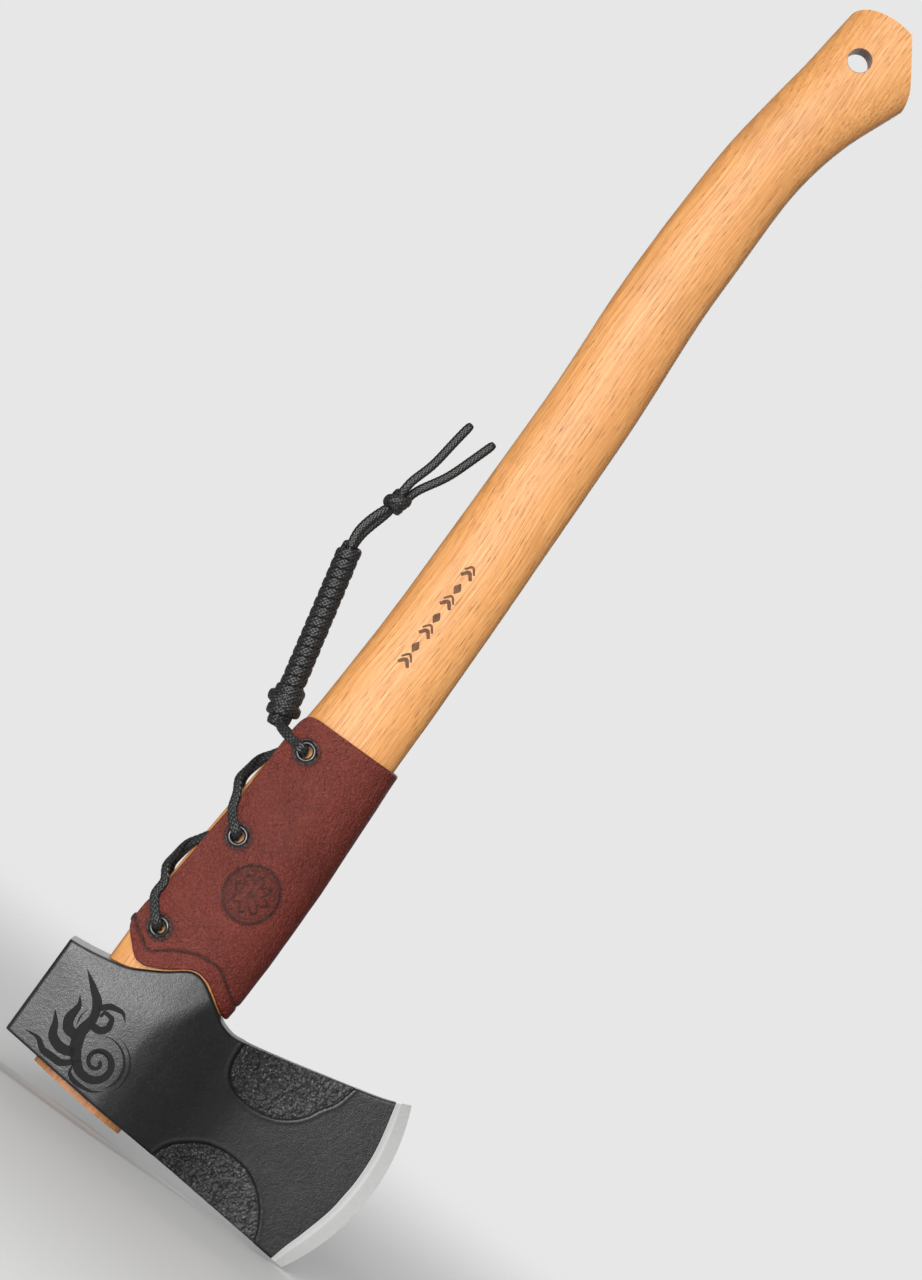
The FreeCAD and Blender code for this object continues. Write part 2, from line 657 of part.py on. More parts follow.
def build_collar():
    # over the lobes the collar keeps the section it has just above them
    stations = [(z, rear_at(z), front_at(z), max(half_at(z), COLLAR_LEAST_HALF))
                for z in COLLAR_HEIGHTS]
    outer = new_body("collar_outer_form")
    lofted(outer, "AdditiveLoft", "collar_outside", stations, lambda a: stand_off(a) + LEATHER)
    inner = new_body("collar_inner_form")
    lofted(inner, "AdditiveLoft", "collar_inside",
           [(INNER_LOW,) + stations[0][1:]] + stations[1:-1] + [(INNER_HIGH,) + stations[-1][1:]],
           stand_off)
    near_volume("collar_outer_form", outer, 200000, 400000)
    near_volume("collar_inner_form", inner, 150000, 300000)

    pattern = new_body("collar_pattern")
    sk = sketch(pattern, "XZ_Plane", "collar_side")
    top_front = (COLLAR_FRONT, COLLAR_TOP)
    low_front = (COLLAR_FRONT, COLLAR_LOWER[-1][1])
    outline(sk, [COLLAR_REAR, [COLLAR_REAR[-1], top_front], [top_front, low_front],
                 [low_front, COLLAR_LOWER[-1]], COLLAR_LOWER[::-1]])
    pad = pattern.newObject("PartDesign::Pad", "collar_pattern_pad")
    pad.Profile = sk
    pad.SideType = "Symmetric"
    pad.Length = PATTERN_WIDTH
    doc.recompute()

    cylinders = []
    for (tag, side_name), seat in seats.items():
        for name, alias, start, end in SEAT_TOOLS:
            cylinder = doc.addObject("Part::Cylinder", "%s_%s_%s" % (name, tag, side_name))
            cylinder.setExpression("Radius", "dims." + alias)
            cylinder.Height = end - start
            cylinder.Placement = seat.placed(start)
            cylinders.append(cylinder)
    drills = doc.addObject("Part::MultiFuse", "eyelet_drills")
    drills.Shapes = cylinders
    trimmed = doc.addObject("Part::Common", "collar_trimmed")
    trimmed.Base = outer
    trimmed.Tool = pattern
    hollow = cut_from("collar_hollow", trimmed, inner)
    collar = cut_from("leather_collar", hollow, drills)
    doc.recompute()
    near_volume("leather_collar", collar, 40000, 56000)
    return collar


# ================================================================ EYELETS AND WASHERS
EYELET_LIFT = 0.14                        # height of the eyelet's origin above the leather
FLANGE_UNDER = 0.14                       # underside of the flange above that origin
FLANGE_RIM = 0.36                         # upper edge of the flange rim
WASHER_GAP = 0.03                         # between leather and washer
WASHER_FIT = 0.05                         # between eyelet barrel and washer


def build_eyelet(name, seat):
    body = new_body(name)
    sk = sketch(body, "XZ_Plane", name + "_profile")
    bore, barrel = dim("eyelet_bore"), dim("eyelet_barrel")
    flange, dome = dim("eyelet_flange"), dim("eyelet_dome")
    foot = -LEATHER - dim("washer_thick") - EYELET_LIFT
    rolled = [(bore, dome * 0.45), (bore + 0.35, dome * 0.86), (bore + 1.1, dome),
              (flange - 0.7, dome * 0.72), (flange, FLANGE_RIM)]
    under = (flange - 0.12, FLANGE_UNDER)
    outline(sk, [
        [(bore, foot), rolled[0]],
        rolled,
        [rolled[-1], under],
        [under, (barrel, FLANGE_UNDER)],
        [(barrel, FLANGE_UNDER), (barrel, foot)],
        [(barrel, foot), (bore, foot)],
    ])
    turned = body.newObject("PartDesign::Revolution", name + "_turned")
    turned.Profile = sk
    turned.ReferenceAxis = (sk, ["V_Axis"])
    turned.Angle = 360
    body.Placement = seat.placed(EYELET_LIFT)
    return body


def build_washer(name, seat):
    body = new_body(name)
    sk = sketch(body, "XY_Plane", name + "_ring")
    bound_circle(sk, 0, 0, dim("washer_radius"), "dims.washer_radius")
    bound_circle(sk, 0, 0, dim("eyelet_barrel") + WASHER_FIT,
                 "dims.eyelet_barrel + %s" % WASHER_FIT)
    pad = body.newObject("PartDesign::Pad", name + "_pad")
    pad.Profile = sk
    pad.setExpression("Length", "dims.washer_thick")
    body.Placement = seat.placed(-LEATHER - dim("washer_thick") - WASHER_GAP)
    return body


def build_eyelets_and_washers():
    parts = []
    for (tag, side_name), seat in seats.items():
        for kind, build in (("eyelet", build_eyelet), ("washer", build_washer)):
            name = "%s_%s_%s" % (kind, side_name, tag)
            parts.append((name, build(name, seat)))
    doc.recompute()
    return parts


# ================================================================ CORDS
CORD_SAMPLES = 4000                       # steps in which a cord's line is followed
RING_TURN = 0.42                          # most radians a cord bends between rings
LAST_GAP = 0.5                            # least distance between the last two rings


def cord(name, points, radius_alias, longest=3.0):
    """a round cord lofted through rings square to a smooth line through the points, at most
    longest apart and closer where it bends; returned as a (name, object) part"""
    curve = spline(points)
    first, span = curve.FirstParameter, curve.LastParameter - curve.FirstParameter
    params = [first + span * i / CORD_SAMPLES for i in range(CORD_SAMPLES + 1)]
    line = [curve.value(u) for u in params]
    picks, since = [0], 0.0
    for i in range(1, len(line)):
        since += (line[i] - line[i - 1]).Length
        if since >= min(longest, RING_TURN / max(curve.curvature(params[i]), 1e-6)):
            picks.append(i)
            since = 0.0
    if since < LAST_GAP:
        picks.pop()
    picks.append(len(line) - 1)

    rings = []
    across = None
    for k, i in enumerate(picks):
        # each ring's frame is carried on from the last, so that the cord doesn't twist
        ahead = curve.tangent(params[i])[0]
        ahead.normalize()
        if across is None:
            across = ahead.cross(Z_AXIS if abs(ahead.z) < 0.9 else V(1, 0, 0))
        across = across - ahead * across.dot(ahead)
        across.normalize()
        other = ahead.cross(across)
        ring = doc.addObject("Part::Circle", "%s_ring_%d" % (name, k))
        ring.setExpression("Radius", "dims." + radius_alias)
        ring.Placement = Placement(FreeCAD.Matrix(
            across.x, other.x, ahead.x, line[i].x,
            across.y, other.y, ahead.y, line[i].y,
            across.z, other.z, ahead.z, line[i].z,
            0, 0, 0, 1))
        rings.append(ring)
    loft = doc.addObject("Part::Loft", name)
    loft.Sections = rings
    loft.Solid = True
    loft.Ruled = True
    doc.recompute()
    expected = math.pi * dim(radius_alias) ** 2 * curve.length()
    near_volume(name, loft, expected * 0.94, expected * 1.04)
    return name, loft


# ---------------------------------------------------------------- lace
LACE_RADIUS = dim("lace_radius")
# stand-offs from the haft's skin
ON_HAFT = LACE_RADIUS + 0.2               # cord lying on the haft
FLAP_FACE = LEATHER_GAP + FLAP_LIFT + LEATHER  # outer face of a lifted flap
ON_FLAP = FLAP_FACE + LACE_RADIUS + 0.15  # cord lying on the flap
ON_CORD = ON_HAFT + 2 * LACE_RADIUS + 0.25  # cord crossing over another one
BAR_Z = 82.6                              # height of the bar across the rear of the haft
BAR_CURVE = 0.0012                        # rise of the bar for each squared degree off the rear
RISE_BEND, RISE_HOLD = 2.2, 0.9           # bend into an eyelet: radius, distance off its axis
LEAVE_BEND = 2.7                          # radius of the bend out of an eyelet


def lay(degrees, z, off, side):
    """point at that angle (mirrored by side), height and stand-off from the haft's skin"""
    return skin(side * math.radians(degrees), z, off)


def flat_direction(normal, vector):
    """unit direction of the vector in the plane square to the normal"""
    flat = vector - normal * normal.dot(vector)
    flat.normalize()
    return flat


def rise(seat, came_from):
    """from under the leather up into the eyelet"""
    back = flat_direction(seat.normal, came_from - seat.point)
    centre = (seat.point + back * (RISE_HOLD + RISE_BEND)
              + seat.normal * (ON_HAFT - FLAP_FACE + RISE_BEND))
    turns = [math.radians(turn) for turn in (0, 25, 50, 75, 90)]
    return [centre - (back * math.sin(q) + seat.normal * math.cos(q)) * RISE_BEND for q in turns]


def leave(seat, goes_to, hold=0.6, level=0.2):
    """out of the eyelet and over its flange"""
    onward = flat_direction(seat.normal, goes_to - seat.point)
    centre = seat.point + onward * (hold + LEAVE_BEND) + seat.normal * level
    turns = [math.radians(turn) for turn in (0, 22, 45, 68, 90)]
    return [centre + (seat.normal * math.sin(q) - onward * math.cos(q)) * LEAVE_BEND
            for q in turns]


def crossing(start, end, side, over):
    """up over the flap edge, across the rear of the haft and under the other flap;
    over tells whether it passes over the other strand there"""
    if over:
        middle, edge, descent, past, landing = ON_CORD, 3.4, 1.1, 0.9, 0.45
    else:
        middle, edge, descent, past, landing = ON_HAFT, 4.0, 1.4, 0.0, 0.0
    run = [  # degrees from the front, part of the climb, stand-off
        (start.degrees + 18, 0.135, ON_FLAP + 0.25),
        (start.degrees + 24, 0.215, ON_FLAP + 0.05),
        (148, 0.33, ON_FLAP - 0.1),
        (158, 0.43, middle + edge),
        (169, 0.54, middle + descent),
        (180, 0.64, middle),
        (188, 0.705, middle - past),
        (196, 0.765, ON_HAFT + landing),
        (205, 0.825, ON_HAFT),
        (215, 0.88, ON_HAFT),
        (225, 0.92, ON_HAFT),
        (360 - end.degrees - 11.5, 0.965, ON_HAFT),
    ]
    climb = end.z - start.z
    return [lay(degrees, start.z + part * climb, off, side) for degrees, part, off in run]


def lace_run(side, over_first):
    """from the middle of the bar: out of the lower eyelet on this side, in at the middle
    one on the other side, and in at the upper one on this side"""
    here, there = ("left", "right") if side < 0 else ("right", "left")
    lower, middle, upper = seats[("lower", here)], seats[("middle", there)], seats[("upper", here)]
    bar = [lay(a, BAR_Z + BAR_CURVE * (180 - a) ** 2, ON_HAFT, side)
           for a in (172, 163, 154, 145, 138)]
    first = crossing(lower, middle, side, over_first)
    second = crossing(middle, upper, -side, not over_first)
    points = bar + rise(lower, bar[-1]) + leave(lower, first[0]) + first
    points += rise(middle, first[-1]) + leave(middle, second[0]) + second
    points += rise(upper, second[-1])
    # the end stops inside the upper eyelet
    back = flat_direction(upper.normal, second[-1] - upper.point)
    points += [upper.point + back * off_axis + upper.normal * height
               for off_axis, height in ((0.8, -1.4), (0.7, -0.3))]
    return points


def build_lace():
    points = lace_run(1, False)[::-1] + [lay(180, BAR_Z, ON_HAFT, 1)] + lace_run(-1, True)
    return cord("lace", points, "lace_radius", 2.4)


# ---------------------------------------------------------------- lanyard
# last points of each lead, behind the collar (x, distance from the middle plane, z)
LEAD_ENDS = [(-22.6, 10.0, 192.9), (-24.4, 7.0, 192.8), (-25.0, 4.6, 192.5)]
# whipping axis, in the middle plane, leaning back from the haft
AXIS_START, AXIS_END = V(-27.3, 0, 197.2), V(-46.5, 0, 280.2)
AXIS_LENGTH = (AXIS_END - AXIS_START).Length
AXIS = AXIS_END - AXIS_START
AXIS.normalize()
CORE_HALF = 1.4                           # distance of a core strand from the middle plane
CORE_PLACES = (1.5, 5, 10, 18, 27, 36, 45, 54, 63, 72, 80, AXIS_LENGTH + 0.4)
KNOT_CENTRE = V(-41.0, 0, 309.4)
KNOT_STEPS = 60
KNOT_OPEN = 0.012                         # part of the knot's loop left open at each end
# name, radius alias, points (x, y, z)
STRANDS = [
    # between whipping and knot
    ("link_strand_left", "link_radius", [
        (-47.4, -1.9, 284.9), (-47.6, -2.0, 288.6), (-46.9, -2.0, 293.6), (-45.0, -1.9, 299.6)]),
    ("link_strand_right", "link_radius", [
        (-46.8, 1.9, 284.9), (-46.1, 2.0, 288.6), (-44.6, 2.0, 293.6), (-42.9, 1.9, 299.6)]),
    # free tails
    ("tail_left", "tail_radius", [
        (-41.6, -2.6, 318.2), (-40.9, -2.6, 322.6), (-37.9, -2.3, 332.2), (-36.5, -2.2, 342.2),
        (-35.2, -2.2, 352.2), (-34.4, -2.2, 357.8)]),
    ("tail_right", "tail_radius", [
        (-37.6, 2.6, 318.0), (-34.0, 2.5, 323.2), (-29.1, 2.3, 332.2), (-25.4, 2.2, 342.2),
        (-22.2, 2.2, 352.2), (-20.9, 2.2, 356.6)]),
]


def build_lead(side, side_name):
    """from the upper eyelet round to the rear, where the whipping starts"""
    seat = seats[("upper", side_name)]
    run = [lay(degrees, z, off, side) for degrees, z, off in (
        (seat.degrees + 17, 191.9, ON_FLAP + 0.25),
        (seat.degrees + 24, 192.2, ON_FLAP + 0.1),
        (148, 192.5, ON_FLAP - 0.05))]
    points = leave(seat, run[0], hold=0.7, level=0.42) + run
    points += [V(x, side * y, z) for x, y, z in LEAD_ENDS]
    return cord("lanyard_lead_" + side_name, points, "lace_radius", 2.0)


def build_coil(name, kind, start, spin, half_wide):
    """flattened cord swept along a helix about the whipping axis, from start along it"""
    place = Placement(AXIS_START + AXIS * start, Rotation(Z_AXIS, AXIS) * Rotation(Z_AXIS, spin))
    helix = doc.addObject("Part::Helix", name + "_line")
    helix.setExpression("Radius", "dims.%s_radius" % kind)
    helix.setExpression("Pitch", "dims.%s_pitch" % kind)
    helix.setExpression("Height", "dims.%s_height" % kind)
    helix.LocalCoord = 0
    helix.Placement = place
    section = doc.addObject("Part::Ellipse", name + "_section")
    section.setExpression("MajorRadius", half_wide)
    section.setExpression("MinorRadius", "dims.coil_half_thick")
    # major radius along the axis, minor radius pointing out
    upright = Rotation(V(0, 0, 1), V(1, 0, 0), V(0, 1, 0), "XYZ")
    section.Placement = place * Placement(V(dim(kind + "_radius"), 0, 0), upright)
    doc.recompute()
    sweep = doc.addObject("Part::Sweep", name)
    sweep.Sections = [section]
    sweep.Spine = (helix, ["Edge1"])
    sweep.Solid = True
    sweep.Frenet = True
    doc.recompute()
    return name, sweep


def build_core(side, side_name):
    """strand through the whipping, from the leads to the far end"""
    points = [V(-25.4, side * 1.5, 194.4)]
    for place in CORE_PLACES:
        middle = AXIS_START + AXIS * place
        points.append(V(middle.x, side * CORE_HALF, middle.z))
    return cord("coil_core_" + side_name, points, "lace_radius", 8.0)


def build_knot():
    """overhand knot: three interlaced bights, the ends meeting at the bottom"""
    scale, depth = dim("knot_scale"), dim("knot_depth")
    points = []
    for i in range(KNOT_STEPS + 1):
        q = 2 * math.pi * (0.5 + KNOT_OPEN + (1 - 2 * KNOT_OPEN) * i / KNOT_STEPS)
        x = math.sin(q) + 2 * math.sin(2 * q)
        z = math.cos(q) - 2 * math.cos(2 * q)
        points.append(KNOT_CENTRE + V(x * scale, -math.sin(3 * q) * depth, z * scale))
    return cord("overhand_knot", points, "knot_cord_radius", 1.2)


def build_lanyard():
    parts = [build_lead(side, name) for side, name in SIDES]
    parts.append(build_coil("coil_wrap", "coil", 15.0, 90, "dims.coil_half_wide"))
    parts.append(build_coil("coil_base_turns", "base", 2.2, 0, "dims.coil_half_thick + 0.5"))
    parts += [build_core(side, name) for side, name in SIDES]
    parts += [cord(name, [V(*point) for point in points], alias)
              for name, alias, points in STRANDS]
    parts.append(build_knot())
    return parts


# ================================================================ BUILD, CHECK AND WRITE
parts = [("axe_head", build_head())]
parts += build_haft_and_wedges()
parts.append(("leather_collar", build_collar()))
parts += build_eyelets_and_washers()
parts.append(build_lace())
parts += build_lanyard()
doc.recompute()

faults = ["%s is %s" % (obj.Name, obj.State) for obj in doc.Objects
          if "Invalid" in obj.State or "Error" in obj.State]
for name, obj in parts:
    obj.Label = name
    shape = obj.Shape
    if shape.isNull() or not shape.isValid() or not shape.Solids:
        faults.append("%s has no valid solid" % name)
    elif shape.Volume <= 0:
        faults.append("%s has volume %.2f" % (name, shape.Volume))
if faults:
    raise RuntimeError("; ".join(faults))

os.makedirs("parts", exist_ok=True)
for name, obj in parts:
    obj.Shape.exportStep("parts/%s.step" % name)
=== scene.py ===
"""A hatchet with a laced leather collar and a cord lanyard, standing on a pale floor.

The haft runs up +Z and the head is at its lower end. The blade points to +X (front) and
the poll to -X (rear). Pieces named left are at -Y, the camera's side, and right at +Y.
Mesh dimensions are in millimetres until build() turns them into metres.
"""

import bpy
import math
from collections import namedtuple
import numpy as np
from mathutils import Matrix, Vector


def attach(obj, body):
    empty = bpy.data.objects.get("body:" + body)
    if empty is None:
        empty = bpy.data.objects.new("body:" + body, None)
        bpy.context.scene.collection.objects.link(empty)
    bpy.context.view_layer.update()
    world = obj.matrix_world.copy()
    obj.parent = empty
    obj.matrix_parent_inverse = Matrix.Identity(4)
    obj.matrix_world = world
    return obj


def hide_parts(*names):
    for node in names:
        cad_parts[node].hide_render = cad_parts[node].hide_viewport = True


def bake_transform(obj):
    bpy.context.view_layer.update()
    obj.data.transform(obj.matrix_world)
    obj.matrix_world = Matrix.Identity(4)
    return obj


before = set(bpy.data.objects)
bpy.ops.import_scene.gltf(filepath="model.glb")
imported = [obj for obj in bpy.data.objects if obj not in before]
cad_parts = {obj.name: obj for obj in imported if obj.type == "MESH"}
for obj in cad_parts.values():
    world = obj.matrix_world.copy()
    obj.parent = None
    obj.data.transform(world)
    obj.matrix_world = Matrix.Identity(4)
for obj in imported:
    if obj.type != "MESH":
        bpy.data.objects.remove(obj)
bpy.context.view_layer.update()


MM = 0.001
SIDES = (("left", -1), ("right", 1))
scene = bpy.context.scene


# ---------------------------------------------------------------- curves and noise
def curve(xs, ys):
    """monotone cubic through the points, held at its end values outside them"""
    xs, ys = np.asarray(xs, float), np.asarray(ys, float)
    gaps = np.diff(xs)
    rates = np.diff(ys) / gaps
    slopes = np.zeros(len(xs))
    slopes[0], slopes[-1] = rates[0], rates[-1]
    for i in range(1, len(xs) - 1):
        if rates[i - 1] * rates[i] > 0:
            before = 2 * gaps[i] + gaps[i - 1]
            after = gaps[i] + 2 * gaps[i - 1]
            slopes[i] = (before + after) / (before / rates[i - 1] + after / rates[i])

    def value(x):
        x = np.clip(np.asarray(x, float), xs[0], xs[-1])
        i = np.clip(np.searchsorted(xs, x) - 1, 0, len(gaps) - 1)
        u = (x - xs[i]) / gaps[i]
        return (ys[i] * (2 * u**3 - 3 * u**2 + 1)
                + slopes[i] * gaps[i] * (u**3 - 2 * u**2 + u)
                + ys[i + 1] * (3 * u**2 - 2 * u**3)
                + slopes[i + 1] * gaps[i] * (u**3 - u**2))

    return value


def column_curves(table):
    """a curve of every later column over the first"""
    return [curve(table[:, 0], table[:, i]) for i in range(1, table.shape[1])]


def smooth(start, end, x):
    u = np.clip((x - start) / (end - start), 0, 1)
    return u * u * (3 - 2 * u)


def signed_power(v, exponent):
    return np.sign(v) * np.abs(v) ** exponent


def unit(v):
    return v / np.linalg.norm(v, axis=-1, keepdims=True)


def travelled(points, power=1.0):
    """running length along points; power below 1 evens out long and short gaps"""
    gaps = np.linalg.norm(np.diff(points, axis=0), axis=1)
    return np.concatenate([[0], np.cumsum(gaps**power)])


def arc_points(points, count):
    """evenly spaced points of a smooth line through points"""
    points = np.asarray(points, float)
    run = travelled(points)
    at = np.linspace(0, run[-1], count)
    return np.stack([curve(run, column)(at) for column in points.T], -1)


def at_fractions(points, fractions):
    """points of the same smooth line at fractions of its length"""
    dense = arc_points(points, 2000)
    run = travelled(dense)
    return np.stack([np.interp(fractions * run[-1], run, column) for column in dense.T], -1)


def line_distance(x, z, line):
    """distance from points to a polyline"""
    nearest = np.full(x.shape, 1e9)
    for (x0, z0), (x1, z1) in zip(line[:-1], line[1:]):
        dx, dz = x1 - x0, z1 - z0
        t = np.clip(((x - x0) * dx + (z - z0) * dz) / (dx * dx + dz * dz + 1e-12), 0, 1)
        nearest = np.minimum(nearest, np.hypot(x - x0 - t * dx, z - z0 - t * dz))
    return nearest


def in_polygon(x, z, polygon):
    inside = np.zeros(x.shape, bool)
    for (x0, z0), (x1, z1) in zip(polygon, np.roll(polygon, -1, axis=0)):
        if z0 != z1:
            inside ^= ((z0 > z) != (z1 > z)) & (x < (x1 - x0) * (z - z0) / (z1 - z0) + x0)
    return inside


def lattice(ix, iy, iz, seed):
    """hashed value from 0 to 1 at whole-number points"""
    n = (ix * 374761393 + iy * 668265263 + iz * 2147483647 + seed * 1274126177) & 0xFFFFFFFF
    n = ((n ^ (n >> 13)) * 1274126177) & 0xFFFFFFFF
    return ((n ^ (n >> 16)) & 0xFFFF) / 65535.0


def value_noise(x, y, z, seed):
    """noise from -1 to 1"""
    places = [np.asarray(v, float) for v in np.broadcast_arrays(x, y, z)]
    ix, iy, iz = (np.floor(v).astype(np.int64) for v in places)
    parts = [v - i for v, i in zip(places, (ix, iy, iz))]
    ux, uy, uz = (v * v * v * (v * (v * 6 - 15) + 10) for v in parts)
    total = 0
    for dx in (0, 1):
        wx = ux if dx else 1 - ux
        for dy in (0, 1):
            wy = uy if dy else 1 - uy
            for dz in (0, 1):
                wz = uz if dz else 1 - uz
                total = total + wx * wy * wz * lattice(ix + dx, iy + dy, iz + dz, seed)
    return total * 2 - 1


def fractal(x, y, z, octaves, seed, gain=0.5):
    total, weight, weights = 0, 1.0, 0.0
    for k in range(octaves):
        total = total + weight * value_noise(x * 2**k, y * 2**k, z * 2**k, seed + 17 * k)
        weights += weight
        weight *= gain
    return total / weights


# ---------------------------------------------------------------- mesh helpers
def shade(mesh, smooth_shade=True, sharp_angle=None):
    mesh.polygons.foreach_set("use_smooth", [smooth_shade] * len(mesh.polygons))
    mesh.update()
    if sharp_angle is not None:
        mesh.set_sharp_from_angle(angle=math.radians(sharp_angle))


def build(name, verts, faces, mats=(), mat_index=None, smooth_shade=True, sharp_angle=None):
    """object from vertices in mm and lists of vertex numbers"""
    mesh = bpy.data.meshes.new(name)
    points = (np.asarray(verts, float) * MM).tolist()
    mesh.from_pydata(points, [], [list(map(int, face)) for face in faces])
    for mat in mats:
        mesh.materials.append(mat)
    if mat_index is not None:
        mesh.polygons.foreach_set("material_index", np.asarray(mat_index, np.int32))
    shade(mesh, smooth_shade, sharp_angle)
    obj = bpy.data.objects.new(name, mesh)
    scene.collection.objects.link(obj)
    return obj


def add_attribute(obj, name, values):
    attribute = obj.data.attributes.new(name, "FLOAT", "POINT")
    attribute.data.foreach_set("value", np.asarray(values).astype(np.float32))


def grid_quads(index, flip=False):
    """faces over a grid of vertex numbers"""
    corners = [index[:-1, :-1], index[1:, :-1], index[1:, 1:], index[:-1, 1:]]
    faces = np.stack(corners, -1).reshape(-1, 4)
    return faces[:, ::-1] if flip else faces


def strip_quads(line_a, line_b, flip=False):
    """faces between two lines of vertex numbers"""
    return grid_quads(np.stack([line_a, line_b], 1), flip)


def ring_quads(levels, count, flip=False):
    """faces round a stack of rings"""
    index = np.arange(levels * count).reshape(levels, count)
    return grid_quads(np.hstack([index, index[:, :1]]), flip)


def closed_rings(name, rings, first_corner=0):
    """closed solid through a stack of rings

    first_corner turns the corners of each side face, which sets where a boolean splits it.
    """
    levels, count = len(rings), len(rings[0])
    faces = np.roll(ring_quads(levels, count, flip=True), first_corner, axis=1).tolist()
    faces.append(list(range(count))[::-1])
    faces.append([(levels - 1) * count + i for i in range(count)])
    return build(name, np.vstack(rings), faces, smooth_shade=False)


def carve(obj, cutters):
    """cut the cutters out of obj and delete them"""
    for cutter in cutters:
        modifier = obj.modifiers.new("carve", "BOOLEAN")
        modifier.operation = "DIFFERENCE"
        modifier.solver = "EXACT"
        modifier.object = cutter
    bpy.context.view_layer.update()
    depsgraph = bpy.context.evaluated_depsgraph_get()
    mesh = bpy.data.meshes.new_from_object(obj.evaluated_get(depsgraph))
    obj.modifiers.clear()
    old = obj.data
    obj.data = mesh
    mesh.name = old.name
    bpy.data.meshes.remove(old)
    for cutter in cutters:
        cutter_mesh = cutter.data
        bpy.data.objects.remove(cutter)
        bpy.data.meshes.remove(cutter_mesh)


def register(obj, body=None, piece=None):
    if body:
        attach(obj, body)
    if piece:
        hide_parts(piece)


# ---------------------------------------------------------------- shader graph helpers
class Signal:
    """a node output that can be added, subtracted, multiplied and remapped"""

    def __init__(self, graph, socket):
        self.graph, self.socket = graph, socket

    def __add__(self, other):
        return self.graph.math("ADD", self, other)

    def __radd__(self, other):
        return self.graph.math("ADD", other, self)

    def __sub__(self, other):
        return self.graph.math("SUBTRACT", self, other)

    def __rsub__(self, other):
        return self.graph.math("SUBTRACT", other, self)

    def __mul__(self, other):
        return self.graph.math("MULTIPLY", self, other)

    def span(self, start, end, low=0.0, high=1.0):
        """start..end mapped to low..high, held outside"""
        settings = {"Value": self, "From Min": start, "From Max": end,
                    "To Min": low, "To Max": high}
        return self.graph.made("ShaderNodeMapRange", settings)


class Graph:
    """a node tree with short ways to add nodes; values are Signals or constants"""

    def __init__(self, tree):
        self.tree = tree

    def node(self, kind, **properties):
        node = self.tree.nodes.new(kind)
        for key, value in properties.items():
            setattr(node, key, value)
        return node

    def put(self, socket, value):
        if isinstance(value, Signal):
            self.tree.links.new(value.socket, socket)
        else:
            socket.default_value = value

    def made(self, kind, inputs, output=0, **properties):
        node = self.node(kind, **properties)
        for key, value in inputs.items():
            self.put(node.inputs[key], value)
        return Signal(self, node.outputs[output])

    def coord(self):
        return self.made("ShaderNodeTexCoord", {}, "Object")

    def mapped(self, vector, scale, loc=(0, 0, 0), rot=(0, 0, 0)):
        return self.made("ShaderNodeMapping", {"Vector": vector, "Scale": scale,
                                               "Location": loc, "Rotation": rot})

    def noise(self, vector, scale=1.0, detail=3.0, rough=0.5):
        return self.made("ShaderNodeTexNoise", {"Vector": vector, "Scale": scale,
                                                "Detail": detail, "Roughness": rough}, "Fac")

    def math(self, operation, *values, clamp=False):
        return self.made("ShaderNodeMath", dict(enumerate(values)),
                         operation=operation, use_clamp=clamp)

    def length(self, a, b):
        return self.math("SQRT", a * a + b * b)

    def grey_ramp(self, factor, stops):
        """stops are (position, grey level)"""
        node = self.node("ShaderNodeValToRGB")
        self.put(node.inputs[0], factor)
        elements = node.color_ramp.elements
        while len(elements) < len(stops):
            elements.new(0.5)
        for element, (position, grey) in zip(elements, stops):
            element.position = position
            element.color = (grey, grey, grey, 1)
        return Signal(self, node.outputs[0])

    def mix(self, factor, a, b):
        """colour a, turning to colour b as factor rises"""
        a, b = ((*c, 1) if isinstance(c, tuple) else c for c in (a, b))
        return self.made("ShaderNodeMix", {0: factor, 6: a, 7: b}, 2, data_type="RGBA")

    def tint(self, colour, mask, strength, to):
        return self.mix(mask * strength, colour, to)

    def xyz(self, vector):
        node = self.node("ShaderNodeSeparateXYZ")
        self.put(node.inputs[0], vector)
        return [Signal(self, output) for output in node.outputs]

    def joined(self, x, y, z):
        return self.made("ShaderNodeCombineXYZ", {0: x, 1: y, 2: z})

    def bump(self, height, strength, distance):
        return self.made("ShaderNodeBump", {"Height": height, "Strength": strength,
                                            "Distance": distance})

    def attribute(self, name):
        return self.made("ShaderNodeAttribute", {}, "Fac", attribute_name=name)

    def surface(self, inputs):
        for key, value in inputs.items():
            self.put(self.shader.inputs[key], value)


def material(name):
    mat = bpy.data.materials.new(name)
    mat.use_nodes = True
    g = Graph(mat.node_tree)
    g.tree.nodes.clear()
    g.output = g.node("ShaderNodeOutputMaterial")
    g.shader = g.node("ShaderNodeBsdfPrincipled")
    g.tree.links.new(g.shader.outputs[0], g.output.inputs[0])
    return mat, g


# ---------------------------------------------------------------- materials
# the hole through the haft's upper end, in metres
HOLE_X, HOLE_Z, HOLE_R = 0.0117, 0.5972, 0.0056


